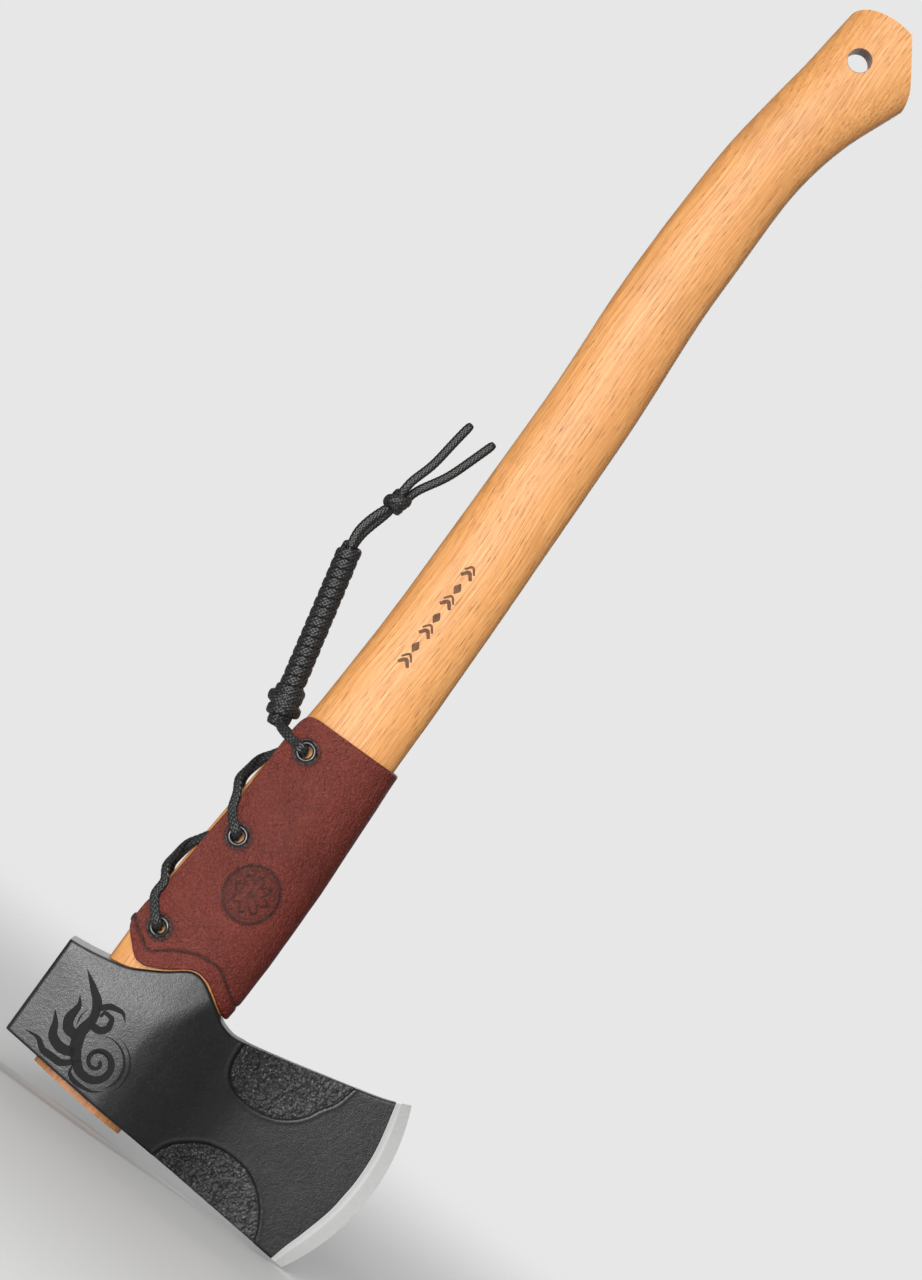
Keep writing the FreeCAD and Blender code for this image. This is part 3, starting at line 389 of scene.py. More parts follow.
def wood_material(name, darkening=0.0):
    mat, g = material(name)
    place = g.coord()
    x, y, z = g.xyz(place)
    # slow wander of the grain along the haft
    slow = g.noise(g.mapped(place, scale=(3.0, 3.0, 5.0)), detail=2.0)
    quick = g.noise(g.mapped(place, scale=(9.0, 9.0, 11.0), loc=(3, 1, 7)), detail=2.0)
    wander = (slow - 0.5) * 0.020 + (quick - 0.5) * 0.0035
    # growth rings round a leaning pith outside the haft; 460 rings to the metre
    ring_x = x + 0.085 + wander
    ring_y = y + (0.028 + z * 0.02)
    radius = g.length(ring_x, ring_y)
    rings = g.math("FRACT", radius * 460.0)
    late = g.grey_ramp(rings, [(0.0, 0), (0.55, 0.25), (0.86, 1), (1.0, 0)])

    # noises stretched along Z; the factors are cells per metre on each axis
    def fibres(along, cells):
        return g.joined(ring_x * cells, ring_y * cells, z * along)

    fine = g.noise(g.joined(radius * 1000.0, y * 900.0, z * 14.0),
                   scale=1.3, detail=4.0, rough=0.62)
    broad = g.noise(g.mapped(place, scale=(55.0, 55.0, 6.0)))
    thin = g.noise(fibres(along=30.0, cells=2600.0), rough=0.6)
    colour = g.mix(fine.span(start=0.32, end=0.68),
                   (0.80, 0.405, 0.150), (0.63, 0.275, 0.082))
    # thin dark and pale fibres, late wood and broad bands
    colour = g.tint(colour, thin.span(start=0.50, end=0.66), 0.66, to=(0.47, 0.19, 0.055))
    colour = g.tint(colour, thin.span(start=0.46, end=0.32), 0.45, to=(0.90, 0.52, 0.22))
    colour = g.tint(colour, late, 0.42, to=(0.46, 0.185, 0.052))
    colour = g.tint(colour, broad.span(start=0.42, end=0.72), 0.32, to=(0.56, 0.235, 0.070))
    # pores: short dark dashes along the grain, mostly by the ring lines
    dashes = g.noise(fibres(along=120.0, cells=2300.0), detail=2.0)
    near_ring = rings.span(start=0.35, end=0.9, low=0.35, high=1.0)
    pore = dashes.span(start=0.610, end=0.650) * near_ring
    colour = g.tint(colour, pore, 0.74, to=(0.20, 0.072, 0.022))
    # stains of old oil
    stain = g.noise(g.mapped(place, scale=(16.0, 30.0, 16.0), loc=(5, 2, 3)), rough=0.55)
    colour = g.tint(colour, stain.span(start=0.58, end=0.76), 0.42, to=(0.42, 0.19, 0.07))
    # painted shade inside the hole: its bore darkened
    from_hole = g.length(x - HOLE_X, z - HOLE_Z)
    hole_shade = from_hole.span(start=HOLE_R + 0.0004, end=HOLE_R + 0.00005)
    colour = g.tint(colour, hole_shade, 0.86, to=g.mix(
        fine.span(start=0.3, end=0.7), (0.23, 0.085, 0.040), (0.090, 0.030, 0.015)))
    # the lower end, up to a slanting line, is darker, with open end grain
    height = z + x * 0.096
    low = height.span(start=0.0062, end=0.0048)
    end_grain = g.noise(g.mapped(place, scale=(420.0, 900.0, 160.0)), detail=4.0, rough=0.7)
    colour = g.tint(colour, low, 0.72, to=g.mix(
        end_grain.span(start=0.35, end=0.65), (0.42, 0.165, 0.065), (0.15, 0.050, 0.020)))
    if darkening:
        colour = g.mix(darkening, colour, (0.20, 0.075, 0.03))
    g.surface({
        "Base Color": colour,
        "Roughness": fine.span(start=0.2, end=0.8, low=0.42, high=0.56),
        "Specular IOR Level": 0.42,
        "Normal": g.bump(fine * 0.5 + pore * -0.9, strength=0.35, distance=0.00025)})
    return mat


def leather_material():
    mat, g = material("leather")
    place = g.coord()
    x = g.xyz(place)[0]
    big = g.noise(place, scale=38.0, detail=4.0, rough=0.6)
    middle = g.noise(place, scale=170.0, detail=4.0, rough=0.6)
    colour = g.mix(big.span(start=0.3, end=0.7),
                   (0.185, 0.0225, 0.0112), (0.122, 0.0135, 0.0068))
    colour = g.tint(colour, middle.span(start=0.45, end=0.8), 0.45, to=(0.225, 0.036, 0.018))
    # painted shade: darker towards the front, the side turned away from the key light
    front = g.math("ADD", x.span(start=0.008, end=0.036), (big - 0.5) * 0.5, clamp=True)
    colour = g.tint(colour, front, 0.60, to=(0.072, 0.0075, 0.0040))
    # rubbed streaks, then dark and pale specks
    streak = g.noise(g.mapped(place, scale=(120.0, 120.0, 30.0), rot=(0, 0.5, 0)),
                     detail=5.0, rough=0.6)
    colour = g.tint(colour, streak.span(start=0.55, end=0.75), 0.30, to=(0.20, 0.040, 0.021))
    speck = g.noise(place, scale=950.0, rough=0.7)
    colour = g.tint(colour, speck.span(start=0.50, end=0.64), 0.50,
                    to=(0.045, 0.0055, 0.0035))
    colour = g.tint(colour, speck.span(start=0.46, end=0.33), 0.50, to=(0.27, 0.052, 0.029))
    # nearly black in pressed lines: pressed leather that is darker, with painted shade in the
    # grooves; also painted shade in the rings round the eyelet seats
    pressed = g.math("MULTIPLY", g.attribute("depth_and_shade"), 0.92, clamp=True)
    colour = g.mix(pressed, colour, (0.022, 0.0045, 0.0030))
    pore = g.made("ShaderNodeTexVoronoi", {"Vector": place, "Scale": 1500.0}, "Distance")
    grainy = g.noise(place, scale=620.0, detail=4.0, rough=0.62)
    g.surface({
        "Base Color": colour,
        "Roughness": grainy.span(start=0.3, end=0.7, low=0.32, high=0.52),
        "Specular IOR Level": 0.62 - front * 0.38,
        "Normal": g.bump(pore * 0.45 + grainy * 1.5, strength=1.0, distance=0.0010)})
    return mat


def forged_steel():
    mat, g = material("forged_black")
    place = g.coord()
    x = g.xyz(place)[0]
    patches = g.noise(place, scale=60.0, detail=5.0, rough=0.6)
    mottle = g.noise(place, scale=420.0, detail=5.0, rough=0.65)
    speck = g.noise(place, scale=1250.0, rough=0.7)
    hollow = g.attribute("rough")
    colour = g.mix(patches.span(start=0.3, end=0.7),
                   (0.0080, 0.0084, 0.0092), (0.0150, 0.0156, 0.0170))
    colour = g.tint(colour, speck.span(start=0.52, end=0.70), 0.30, to=(0.048, 0.050, 0.054))
    colour = g.tint(colour, mottle.span(start=0.5, end=0.8), 0.35, to=(0.034, 0.0355, 0.039))
    colour = g.tint(colour, hollow, 0.6, to=(0.036, 0.0370, 0.0395))
    colour = g.tint(colour, g.attribute("worn"), 0.22, to=(0.080, 0.082, 0.088))
    # painted shade, darker and duller, where the cheeks narrow in behind the blade
    neck_shade = x.span(start=0.008, end=0.042) * x.span(start=0.092, end=0.058)
    colour = g.tint(colour, neck_shade, 0.62, to=(0.0032, 0.0033, 0.0036))
    # painted glints: bright specks in the hollowed fields
    field_glint = g.noise(place, scale=980.0, detail=4.0, rough=0.72)
    colour = g.tint(colour, hollow * field_glint.span(start=0.545, end=0.640), 0.55,
                    to=(0.170, 0.173, 0.180))
    # shinier at the rear, duller on the bit
    rear = x.span(start=0.014, end=-0.004)
    bit = x.span(start=0.066, end=0.096)
    roughness = speck.span(start=0.25, end=0.75, low=0.27, high=0.46) + hollow * 0.02
    # relief: mottle, a fine tooth, and coarse pits in the fields
    tooth = g.noise(place, scale=1500.0)
    pits = g.noise(place, scale=760.0, detail=4.0, rough=0.65)
    relief = mottle * 0.6 + tooth * 0.4 + pits * hollow * 2.2
    g.surface({
        "Base Color": colour,
        "Metallic": 0.35,
        "Roughness": roughness + neck_shade * 0.10,
        "Specular IOR Level": 0.58 - neck_shade * 0.36 + rear * 0.15 - bit * 0.12,
        "Normal": g.bump(relief, strength=0.42, distance=0.0005)})
    return mat


def ground_steel():
    mat, g = material("ground_bevel")
    x, y, z = g.xyz(g.coord())
    # grinding lines run across the bevel, round the centre of the cutting edge's arc
    from_x, from_z = x - 0.0316, z - 0.0443
    angle = g.math("ARCTAN2", from_z, from_x)
    radius = g.length(from_x, from_z)
    lines = g.noise(g.joined(angle * 900.0, radius * 300.0, 0.0), detail=4.0, rough=0.6)
    colour = g.mix(lines.span(start=0.3, end=0.7), (0.56, 0.56, 0.56), (0.66, 0.66, 0.655))
    # a paler band along the inner side of the bevel
    colour = g.mix(g.attribute("cut").span(start=0.30, end=0.40), (0.74, 0.74, 0.74), colour)
    g.surface({
        "Base Color": colour,
        "Metallic": 0.6,
        "Roughness": lines.span(start=0.2, end=0.8, low=0.34, high=0.46),
        "Normal": g.bump(lines, strength=0.08, distance=0.0002)})
    return mat


def etched():
    mat, g = material("etched_dark")
    grain = g.noise(g.coord(), scale=900.0)
    g.surface({
        "Base Color": g.mix(grain, (0.004, 0.004, 0.005), (0.010, 0.010, 0.011)),
        "Roughness": 0.72,
        "Specular IOR Level": 0.25})
    return mat


def burned():
    mat, g = material("burned_mark")
    grain = g.noise(g.coord(), scale=700.0, detail=4.0, rough=0.6)
    g.surface({
        "Base Color": g.mix(grain.span(start=0.3, end=0.7),
                            (0.080, 0.030, 0.013), (0.19, 0.085, 0.035)),
        "Roughness": 0.75})
    return mat


def eyelet_paint():
    mat, g = material("eyelet_black")
    grain = g.noise(g.coord(), scale=700.0, detail=4.0, rough=0.6)
    # paint worn off in patches along convex edges
    pointiness = g.made("ShaderNodeNewGeometry", {}, "Pointiness")
    worn = pointiness.span(start=0.52, end=0.60) * grain.span(start=0.45, end=0.62)
    g.surface({
        "Base Color": g.mix(worn, (0.010, 0.010, 0.011), (0.22, 0.21, 0.20)),
        "Roughness": grain.span(start=0.3, end=0.7, low=0.20, high=0.34),
        "Metallic": 0.25,
        "Coat Weight": 0.3})
    return mat


def wedge_steel():
    mat, g = material("wedge_steel")
    grain = g.noise(g.coord(), scale=500.0, detail=4.0, rough=0.6)
    g.surface({
        "Base Color": g.mix(grain, (0.20, 0.19, 0.18), (0.34, 0.33, 0.32)),
        "Metallic": 0.9,
        "Roughness": grain.span(start=0.3, end=0.7, low=0.38, high=0.55)})
    return mat


def cord_material():
    mat, g = material("black_cord")
    place = g.coord()
    grain = g.noise(place, scale=900.0, rough=0.6)
    fine = g.noise(place, scale=5200.0, detail=2.0)
    colour = g.mix(grain.span(start=0.3, end=0.75),
                   (0.020, 0.0205, 0.0220), (0.040, 0.0412, 0.0440))
    # painted shade, darkest in the gaps between strands and at the narrow edges
    gaps = g.attribute("weave").span(start=0.90, end=0.50)
    g.surface({
        "Base Color": g.mix(gaps, colour, (0.0020, 0.0020, 0.0022)),
        "Roughness": 0.42,
        "Specular IOR Level": 0.55,
        "Sheen Weight": 0.12,
        "Sheen Roughness": 0.4,
        "Normal": g.bump(fine, strength=0.25, distance=0.0001)})
    return mat


def melted():
    mat, g = material("melted_tip")
    grain = g.noise(g.coord(), scale=900.0)
    g.surface({
        "Base Color": g.mix(grain, (0.006, 0.006, 0.006), (0.02, 0.018, 0.017)),
        "Roughness": 0.25})
    return mat


WOOD = wood_material("hickory")
WEDGE_WOOD = wood_material("wedge_wood", darkening=0.45)
LEATHER = leather_material()
FORGED = forged_steel()
GROUND = ground_steel()
ETCHED = etched()
BURNED = burned()
EYELET = eyelet_paint()
WEDGE_STEEL = wedge_steel()
CORD = cord_material()
MELTED = melted()

# ---------------------------------------------------------------- haft section
POWER = 2.25      # of the superellipse that the haft, collar and eye follow
EYE_GAP = 0.08    # between the haft and the eye
# the eye: z, rear x, front x, half width
EYE = np.array([
    (-24.0, -26.2, 24.6, 11.6), (3.5, -26.0, 27.0, 11.3), (35.0, -25.6, 29.8, 10.2),
    (60.0, -25.5, 31.9, 10.4), (80.0, -25.4, 33.6, 10.9), (104.0, -25.4, 35.6, 11.4)])
eye_rear, eye_front, eye_half = column_curves(EYE)
# the haft above the eye: z, rear x, front x, half width
HAFT_ABOVE = [
    (92.0, -25.2, 33.9, 12.2), (104.0, -24.9, 34.2, 12.9), (118.0, -24.3, 34.2, 13.1),
    (136.0, -23.0, 34.0, 13.0), (150.0, -22.0, 33.5, 12.95), (169.0, -20.6, 32.5, 12.8),
    (188.0, -18.6, 31.65, 12.55), (207.0, -16.4, 30.9, 12.4), (230.0, -15.1, 30.8, 12.2),
    (254.0, -14.1, 30.5, 12.1), (278.0, -13.6, 30.1, 12.0), (302.0, -13.6, 29.6, 11.95),
    (326.0, -13.6, 28.9, 11.9), (350.0, -13.7, 28.35, 11.85), (373.0, -13.8, 27.7, 11.8),
    (395.0, -14.1, 27.1, 11.75), (416.0, -15.0, 26.0, 11.7), (439.0, -16.3, 24.4, 11.7),
    (462.0, -16.8, 23.2, 11.7), (485.0, -16.6, 23.1, 11.75), (508.0, -15.9, 23.0, 11.85),
    (531.0, -14.7, 23.7, 12.1), (545.0, -13.1, 25.7, 12.4), (556.0, -11.5, 28.2, 12.8),
    (568.0, -9.8, 32.0, 13.2), (579.0, -8.0, 36.5, 13.45), (590.0, -6.6, 41.0, 13.5),
    (602.0, -5.3, 45.5, 13.5), (614.0, -3.9, 49.6, 13.4), (626.0, -2.6, 53.4, 13.2)]
IN_EYE = [(z, float(eye_rear(z)) + EYE_GAP, float(eye_front(z)) - EYE_GAP,
           float(eye_half(z)) - EYE_GAP) for z in (-24, 4, 20, 36, 58, 81)]
haft_rear, haft_front, haft_half = column_curves(np.array(IN_EYE + HAFT_ABOVE))


def skin(angle, z, off=0.0, half=haft_half):
    """points and normals off mm outside the haft; angle is 0 at the front, +90 degrees at +Y"""
    angle, z, off = np.broadcast_arrays(*(np.asarray(v, float) for v in (angle, z, off)))
    rear, front, half_y = haft_rear(z), haft_front(z), half(z)
    half_x, middle = (front - rear) / 2, (front + rear) / 2
    x = half_x * signed_power(np.cos(angle), 2 / POWER)
    y = half_y * signed_power(np.sin(angle), 2 / POWER)
    slope_x = signed_power(x / half_x, POWER - 1) / half_x
    slope_y = signed_power(y / half_y, POWER - 1) / half_y
    steep = np.hypot(slope_x, slope_y)
    nx, ny = slope_x / steep, slope_y / steep
    return (np.stack([middle + x + off * nx, y + off * ny, z], -1),
            np.stack([nx, ny, 0 * nx], -1))


# ---------------------------------------------------------------- leather collar
THICK = 2.8         # leather
LEATHER_GAP = 0.2   # leather to haft at the front
LIFT = 3.1          # extra gap behind the sides, room for the lace
MIN_HALF = 10.82    # least half width of the collar's section
TOP_Z = 206.5
HALF_GIRTH, HEIGHT = 88.0, 135.0   # nominal, for spacing the grid
EDGE_ROUND = 1.15                  # width of the rounding along the free edges
# lines close together by a free edge, distance from it
EDGE_LINES = np.array([0, 0.10, 0.30, 0.62, 1.05])
# eyelets: name, x, z
EYELETS = [("lower", -14.6, 86.9), ("middle", -9.8, 141.8), ("upper", -7.2, 191.3)]
# collar edges seen from the side: x, z
LOWER_EDGE = np.array([
    (-27.4, 84.5), (-26.9, 80.2), (-24.5, 76.4), (-21, 73.1), (-17.4, 69.9), (-14.2, 68.2),
    (-11, 68.2), (-6, 70.0), (0, 73.0), (5, 76.6), (10, 79.4), (13, 79.9), (18, 78.9),
    (25, 75.0), (30, 71.7), (35, 69.2), (44, 66.5)])
REAR_EDGE = np.array([
    (-27.4, 84.5), (-26.9, 92), (-25.2, 99), (-24.2, 105.2), (-24, 112.2), (-23.2, 122.2),
    (-22.6, 132.2), (-22, 140.2), (-21, 150.2), (-20.1, 157.2), (-20, 167.2), (-19.8, 175.2),
    (-19.5, 185.2), (-19.2, 192.2), (-18.6, 199.2), (-17, 204), (-14.5, 205.9), (-11, 206.5)])
CORNER_Z = REAR_EDGE[0, 1]   # where the lower and rear edges meet
# pressed lines along the lower edge: x, z
CREASES = (
    arc_points([(-26.3, 84.0), (-22.1, 80.4), (-17.4, 77.7), (-13.7, 74.9)], 20),
    arc_points([(-13.7, 74.9), (-11, 75.6), (-6.8, 78.8), (-1.6, 82.5), (3.7, 85.1),
                (10, 87.2), (16.3, 87.5), (20.5, 86.7), (24.6, 83.7), (27.9, 81.4),
                (33.2, 77.7), (37.5, 75.2), (41, 73.5)], 60))
# slanting wrinkles on the left: start x, z, end x, z, width, depth
WRINKLES = [(2, 142.5, 9, 144.0, 0.6, 0.42), (0, 145.6, 8, 147.6, 0.6, 0.30),
            (7.6, 153, 9.2, 161, 1.5, 0.22)]
STAMP_X, STAMP_Z, STAMP_HALF_X, STAMP_HALF_Z = 11.0, 123.4, 13.4, 14.6


def collar_half(z):
    return np.maximum(haft_half(z), MIN_HALF)


def stand_off(angle):
    """gap under the leather"""
    degrees = np.abs(np.degrees(np.arctan2(np.sin(angle), np.cos(angle))))
    return LEATHER_GAP + LIFT * smooth(78.0, 118.0, degrees)


def outer_face(angle, z, half=haft_half):
    return skin(angle, z, stand_off(angle) + THICK, half)[0]


def angle_at_x(x_wanted, z, half=haft_half):
    """angle behind the side where the leather's outer face reaches x"""
    low = np.full_like(z, math.radians(60.0))
    high = np.full_like(z, math.radians(178.0))
    for _ in range(60):
        middle = (low + high) / 2
        ahead = outer_face(middle, z, half)[..., 0] > x_wanted
        low = np.where(ahead, middle, low)
        high = np.where(ahead, high, middle)
    return (low + high) / 2


Seat = namedtuple("Seat", "point normal degrees z")


def eyelet_seats():
    """where each eyelet sits on the leather, with the outward normal"""
    found = {}
    for tag, x, z in EYELETS:
        angle = angle_at_x(x, z)
        for name, side in SIDES:
            def face(a, height):
                return outer_face(side * a, height)

            round_way = face(angle + 1e-3, z) - face(angle - 1e-3, z)
            normal = unit(np.cross(round_way, face(angle, z + 0.5) - face(angle, z - 0.5)))
            if normal[1] * side < 0:
                normal = -normal
            found[tag, name] = Seat(face(angle, z), normal, math.degrees(angle), z)
    return found


SEATS = eyelet_seats()


def collar_grid():
    """angle and height over half the collar, front to rear edge and bottom to top

    Also gives the fraction of the way round and the height of the lower edge by column.
    """
    columns, rows = ((121, 190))
    heights = np.linspace(CORNER_Z, TOP_Z, 240)
    rear_x = curve(REAR_EDGE[:, 1], REAR_EDGE[:, 0])(heights)
    edge_angle = curve(heights, angle_at_x(rear_x, heights, collar_half))
    lower_z = curve(LOWER_EDGE[:, 0], LOWER_EDGE[:, 1])
    girth_lines, height_lines = EDGE_LINES / HALF_GIRTH, EDGE_LINES / HEIGHT
    around = np.concatenate([np.linspace(0, 1 - 1.7 / HALF_GIRTH, columns - 5),
                             1 - girth_lines[::-1]])
    up = np.concatenate([height_lines, np.linspace(1.75 / HEIGHT, 1 - 1.75 / HEIGHT, rows - 10),
                         1 - height_lines[::-1]])
    corner_angle = float(edge_angle(CORNER_Z))
    lower_angle = around * corner_angle
    lower = np.full_like(around, 80.0)
    # settle the lower edge, whose height depends on x and x on height
    for _ in range(80):
        x = outer_face(lower_angle, lower, collar_half)[..., 0]
        lower = 0.5 * lower + 0.5 * lower_z(x)
    z = lower[:, None] + up * (TOP_Z - lower[:, None])
    widest = np.where(z < CORNER_Z, corner_angle, edge_angle(np.maximum(z, CORNER_Z)))
    return around[:, None] * widest, z, around, lower


def stamp_depth(x, z):
    """rosette in an oval ring, as pressed depth 0 to 1"""
    dx, dz = (x - STAMP_X) / STAMP_HALF_X, (z - STAMP_Z) / STAMP_HALF_Z
    radius, angle = np.hypot(dx, dz), np.arctan2(dz, dx)

    def ring(centre, width):
        return np.clip(1 - ((radius - centre) / width) ** 2, 0, 1)

    petals = 0.34 + 0.30 * np.abs(np.cos(4 * angle))
    depth = np.maximum(ring(0.94, 0.080), 0.60 * ring(0.79, 0.045))
    depth = np.maximum(depth, ring(petals, 0.085) * (radius < 0.74))
    depth = np.maximum(depth, ring(0, 0.14))
    return np.maximum(depth, 0.22 * (radius < 0.92))


def pressed_lines(x, z, left):
    """depth 0 to 1 of the creases, and on the left of the stamp and wrinkles"""
    depth_and_shade = np.zeros_like(x)
    for line in CREASES:
        depth_and_shade = np.maximum(depth_and_shade, np.exp(-(line_distance(x, z, line) / 0.75) ** 2))
    if left:
        depth_and_shade = np.maximum(depth_and_shade, stamp_depth(x, z))
        for x0, z0, x1, z1, width, depth in WRINKLES:
            away = line_distance(x, z, [(x0, z0), (x1, z1)])
            depth_and_shade = np.maximum(depth_and_shade, np.exp(-(away / width) ** 2) * depth)
    return depth_and_shade


def collar_side(name, side, angle, z, edge):
    """outer skin, inner skin, and pressed depth with rings of painted shade, of one half; edge
    is the way to a free edge
    """
    inset = np.clip(1 - edge / EDGE_ROUND, 0, 1)
    bulge = np.sqrt(np.clip(1 - inset * inset, 0, 1))
    base, normal = skin(side * angle, z, stand_off(angle) + THICK / 2, collar_half)
    x = base[..., 0]
    # folds and unevenness
    uneven = (fractal(x / 26, side * 3.0 + angle * 1.2, z / 26, octaves=3, seed=3) * 0.34
              + fractal(x / 7, side * 5.0 + angle * 4, z / 9, octaves=3, seed=9) * 0.11)
    uneven = uneven * smooth(0.0, 6.0, edge) - 0.1
    depth_and_shade = pressed_lines(x, z, left=side < 0)
    raised = THICK / 2 * bulge + uneven * bulge * 0.6 - 0.68 * depth_and_shade
    outer = base + normal * raised[..., None]
    inner = base + normal * (-THICK / 2 * bulge)[..., None]
    # flat seats pressed under the eyelets, each with a ring of painted shade round it
    for tag, _, _ in EYELETS:
        seat = SEATS[tag, name]
        offset = outer - seat.point
        above = offset @ seat.normal
        radius = np.linalg.norm(offset - above[..., None] * seat.normal, axis=-1)
        near = np.abs(above) < 6
        flatten = np.where(near, (above + 0.02) * (1 - smooth(5.6, 7.4, radius)), 0)
        outer = outer - flatten[..., None] * seat.normal
        # painted shade: a dark ring at the edge of the seat, in colour only
        ring = 0.8 * np.exp(-((radius - 6.4) / 0.7) ** 2)
        depth_and_shade = np.maximum(depth_and_shade, np.where(near, ring, 0))
    return outer, inner, depth_and_shade


def drill(seat, radius=3.5, start=-8, end=4):
    """rod along an eyelet's normal"""
    across = unit(np.cross(seat.normal, [0, 0, 1.0]))
    turn = np.linspace(0, 2 * np.pi, 40, endpoint=False)
    ring = np.outer(np.cos(turn), across) + np.outer(np.sin(turn), np.cross(seat.normal, across))
    rings = [seat.point + seat.normal * at + ring * radius for at in (start, end)]
    return closed_rings("drill", rings, first_corner=1)


def make_collar():
    angle, z, around, lower = collar_grid()
    to_rear = (1 - around)[:, None] * HALF_GIRTH + 0 * z
    edge = np.minimum(np.minimum(to_rear, z - lower[:, None]), TOP_Z - z)
    halves = [collar_side(name, side, angle, z, edge) for name, side in SIDES]
    # left rear edge to front to right rear edge, the front column once
    outer, inner, depth_and_shade = (np.concatenate([left[::-1], right[1:]], 0)
                          for left, right in zip(*halves))
    # both skins share the outline
    rim = np.ones(depth_and_shade.shape, bool)
    rim[1:-1, 1:-1] = False
    free = ~rim
    outer_index = np.arange(depth_and_shade.size).reshape(depth_and_shade.shape)
    inner_index = outer_index.copy()
    inner_index[free] = depth_and_shade.size + np.arange(free.sum())
    verts = np.vstack([outer.reshape(-1, 3), inner[free]])
    verts[outer_index[rim]] = (outer[rim] + inner[rim]) / 2
    faces = np.vstack([grid_quads(outer_index), grid_quads(inner_index, flip=True)])
    collar = build("collar_leather", verts, faces, mats=(LEATHER,))
    add_attribute(collar, "depth_and_shade", np.concatenate([depth_and_shade.reshape(-1), np.zeros(free.sum())]))
    carve(collar, [drill(seat) for seat in SEATS.values()])
    register(collar, body="axe", piece="leather_collar")


make_collar()

# ---------------------------------------------------------------- axe head
POLL_X, POLL_Z = -44.3, 7.8     # lower rear corner
TOE_X, TOE_Z = 116.7, -7.68     # lower front corner, where the bevel starts
# nominal sizes of the head, for spacing and for the slope of its lower edge
HEAD_LENGTH, LOWER_DROP = 167.4, 16.1
GRID_LENGTH, GRID_HEIGHT = 168, 68
SHARP_ANGLE = 28
# side view: x, z
UPPER_EDGE = np.array([
    (POLL_X, 58.3), (-36, 59.2), (-28, 60.5), (-16, 63.2), (-6.7, 67.9), (0, 71.9),
    (6.7, 76.9), (10.2, 78.8), (13, 79.2), (16.7, 78.4), (22.7, 75.2), (30.7, 69.9),
    (36.5, 66.6), (42.7, 65.3), (49.3, 66.1), (66.7, 69.9), (88, 75.2), (102.7, 78.9),
    (115, 82.2), (121.3, 84.4)])
BEVEL_EDGE = np.array([
    (TOE_X, TOE_Z), (118.8, 1), (120.8, 7.2), (122.8, 14.2), (125.2, 23.4), (126.2, 28.7),
    (126.9, 35.7), (127.5, 43.2), (127.5, 47.2), (127, 57.2), (126.2, 63.0), (124.4, 71.8),
    (123.0, 77.6), (121.3, 84.4)])
# three points of the cutting edge's arc, low to high
CUT_LOW, CUT_MIDDLE, CUT_HIGH = (123.1, -8.3), (137.1, 41.8), (127.9, 87.4)
# open borders of the two hollowed fields, and far points that close each beyond the head
FIELD_UPPER = arc_points([
    (48, 66.2), (48.3, 59), (50, 52.2), (53, 48), (57, 45.2), (63, 43.6), (70, 43.2),
    (76, 44.2), (82, 46.4), (88, 50.6), (92, 55), (95.4, 61.4), (99.6, 68), (102.5, 79.5)], 90)
FIELD_LOWER = arc_points([
    (44, -1.5), (45.5, 4), (48, 8.4), (55, 14.6), (63, 19), (73, 20.7), (83, 19.6),
    (90, 16.4), (95, 12.6), (99.6, 7.6), (103.5, 1.2), (107, -7.5)], 90)
FIELDS = [(FIELD_UPPER, np.vstack([FIELD_UPPER, [(102.5, 130), (48, 130)]])),
          (FIELD_LOWER, np.vstack([FIELD_LOWER, [(107, -60), (44, -60)]]))]
# half thickness along the head: x, half
half_by_x, = column_curves(np.array([
    (POLL_X - 0.01, 15.9), (-30, 16.3), (-10, 17.1), (8, 16.7), (18, 15.2), (26, 13.2),
    (34, 11.1), (42, 9.4), (52, 7.9), (62, 6.8), (76, 5.75), (90, 4.8), (104, 3.85),
    (118, 3.0), (140, 1.6)]))
# upper limit of the half thickness: z, half
half_by_z, = column_curves(np.array([
    (20, 17.9), (36, 17.4), (48, 16.6), (60, 15.2), (71, 13.7), (82, 12.5), (100, 12.0)]))


def circle_through(a, b, c):
    (ax, az), (bx, bz), (cx, cz) = a, b, c
    d = 2 * (ax * (bz - cz) + bx * (cz - az) + cx * (az - bz))
    aa, bb, cc = ax**2 + az**2, bx**2 + bz**2, cx**2 + cz**2
    x = (aa * (bz - cz) + bb * (cz - az) + cc * (az - bz)) / d
    z = (aa * (cx - bx) + bb * (ax - cx) + cc * (bx - ax)) / d
    return x, z, math.hypot(ax - x, az - z)


def cutting_edge(fractions):
    """points of the cutting edge, low to high"""
    x, z, radius = circle_through(CUT_HIGH, CUT_MIDDLE, CUT_LOW)
    start, end = (math.atan2(pz - z, px - x) for px, pz in (CUT_LOW, CUT_HIGH))
    angle = np.linspace(start, end, 1000)
    arc = (x + radius * np.cos(angle), z + radius * np.sin(angle))
    return np.stack([np.interp(fractions, np.linspace(0, 1, 1000), part) for part in arc], -1)


def coons(bottom, top, left, right, u, v):
    """grid filled in between four border lines"""
    u, v = (part[..., None] for part in np.meshgrid(u, v, indexing="ij"))
    return ((1 - v) * bottom[:, None] + v * top[:, None] + (1 - u) * left[None] + u * right[None]
            - ((1 - u) * (1 - v) * bottom[0] + u * (1 - v) * bottom[-1]
               + (1 - u) * v * top[0] + u * v * top[-1]))


def head_stations(start, end, count):
    """fractions along the head, closer together where the hollowed fields are"""
    xs = np.concatenate([polygon for _, polygon in FIELDS])[:, 0]
    first = (xs.min() - POLL_X) / HEAD_LENGTH - 0.01
    last = (xs.max() - POLL_X) / HEAD_LENGTH + 0.01
    t = np.linspace(start, end, 800)
    density = 1 + 0.75 * smooth(first - 0.03, first + 0.01, t) * (
        1 - smooth(last - 0.01, last + 0.03, t))
    total = np.concatenate([[0], np.cumsum((density[1:] + density[:-1]) / 2)])
    return np.interp(np.linspace(0, total[-1], count), total, t)


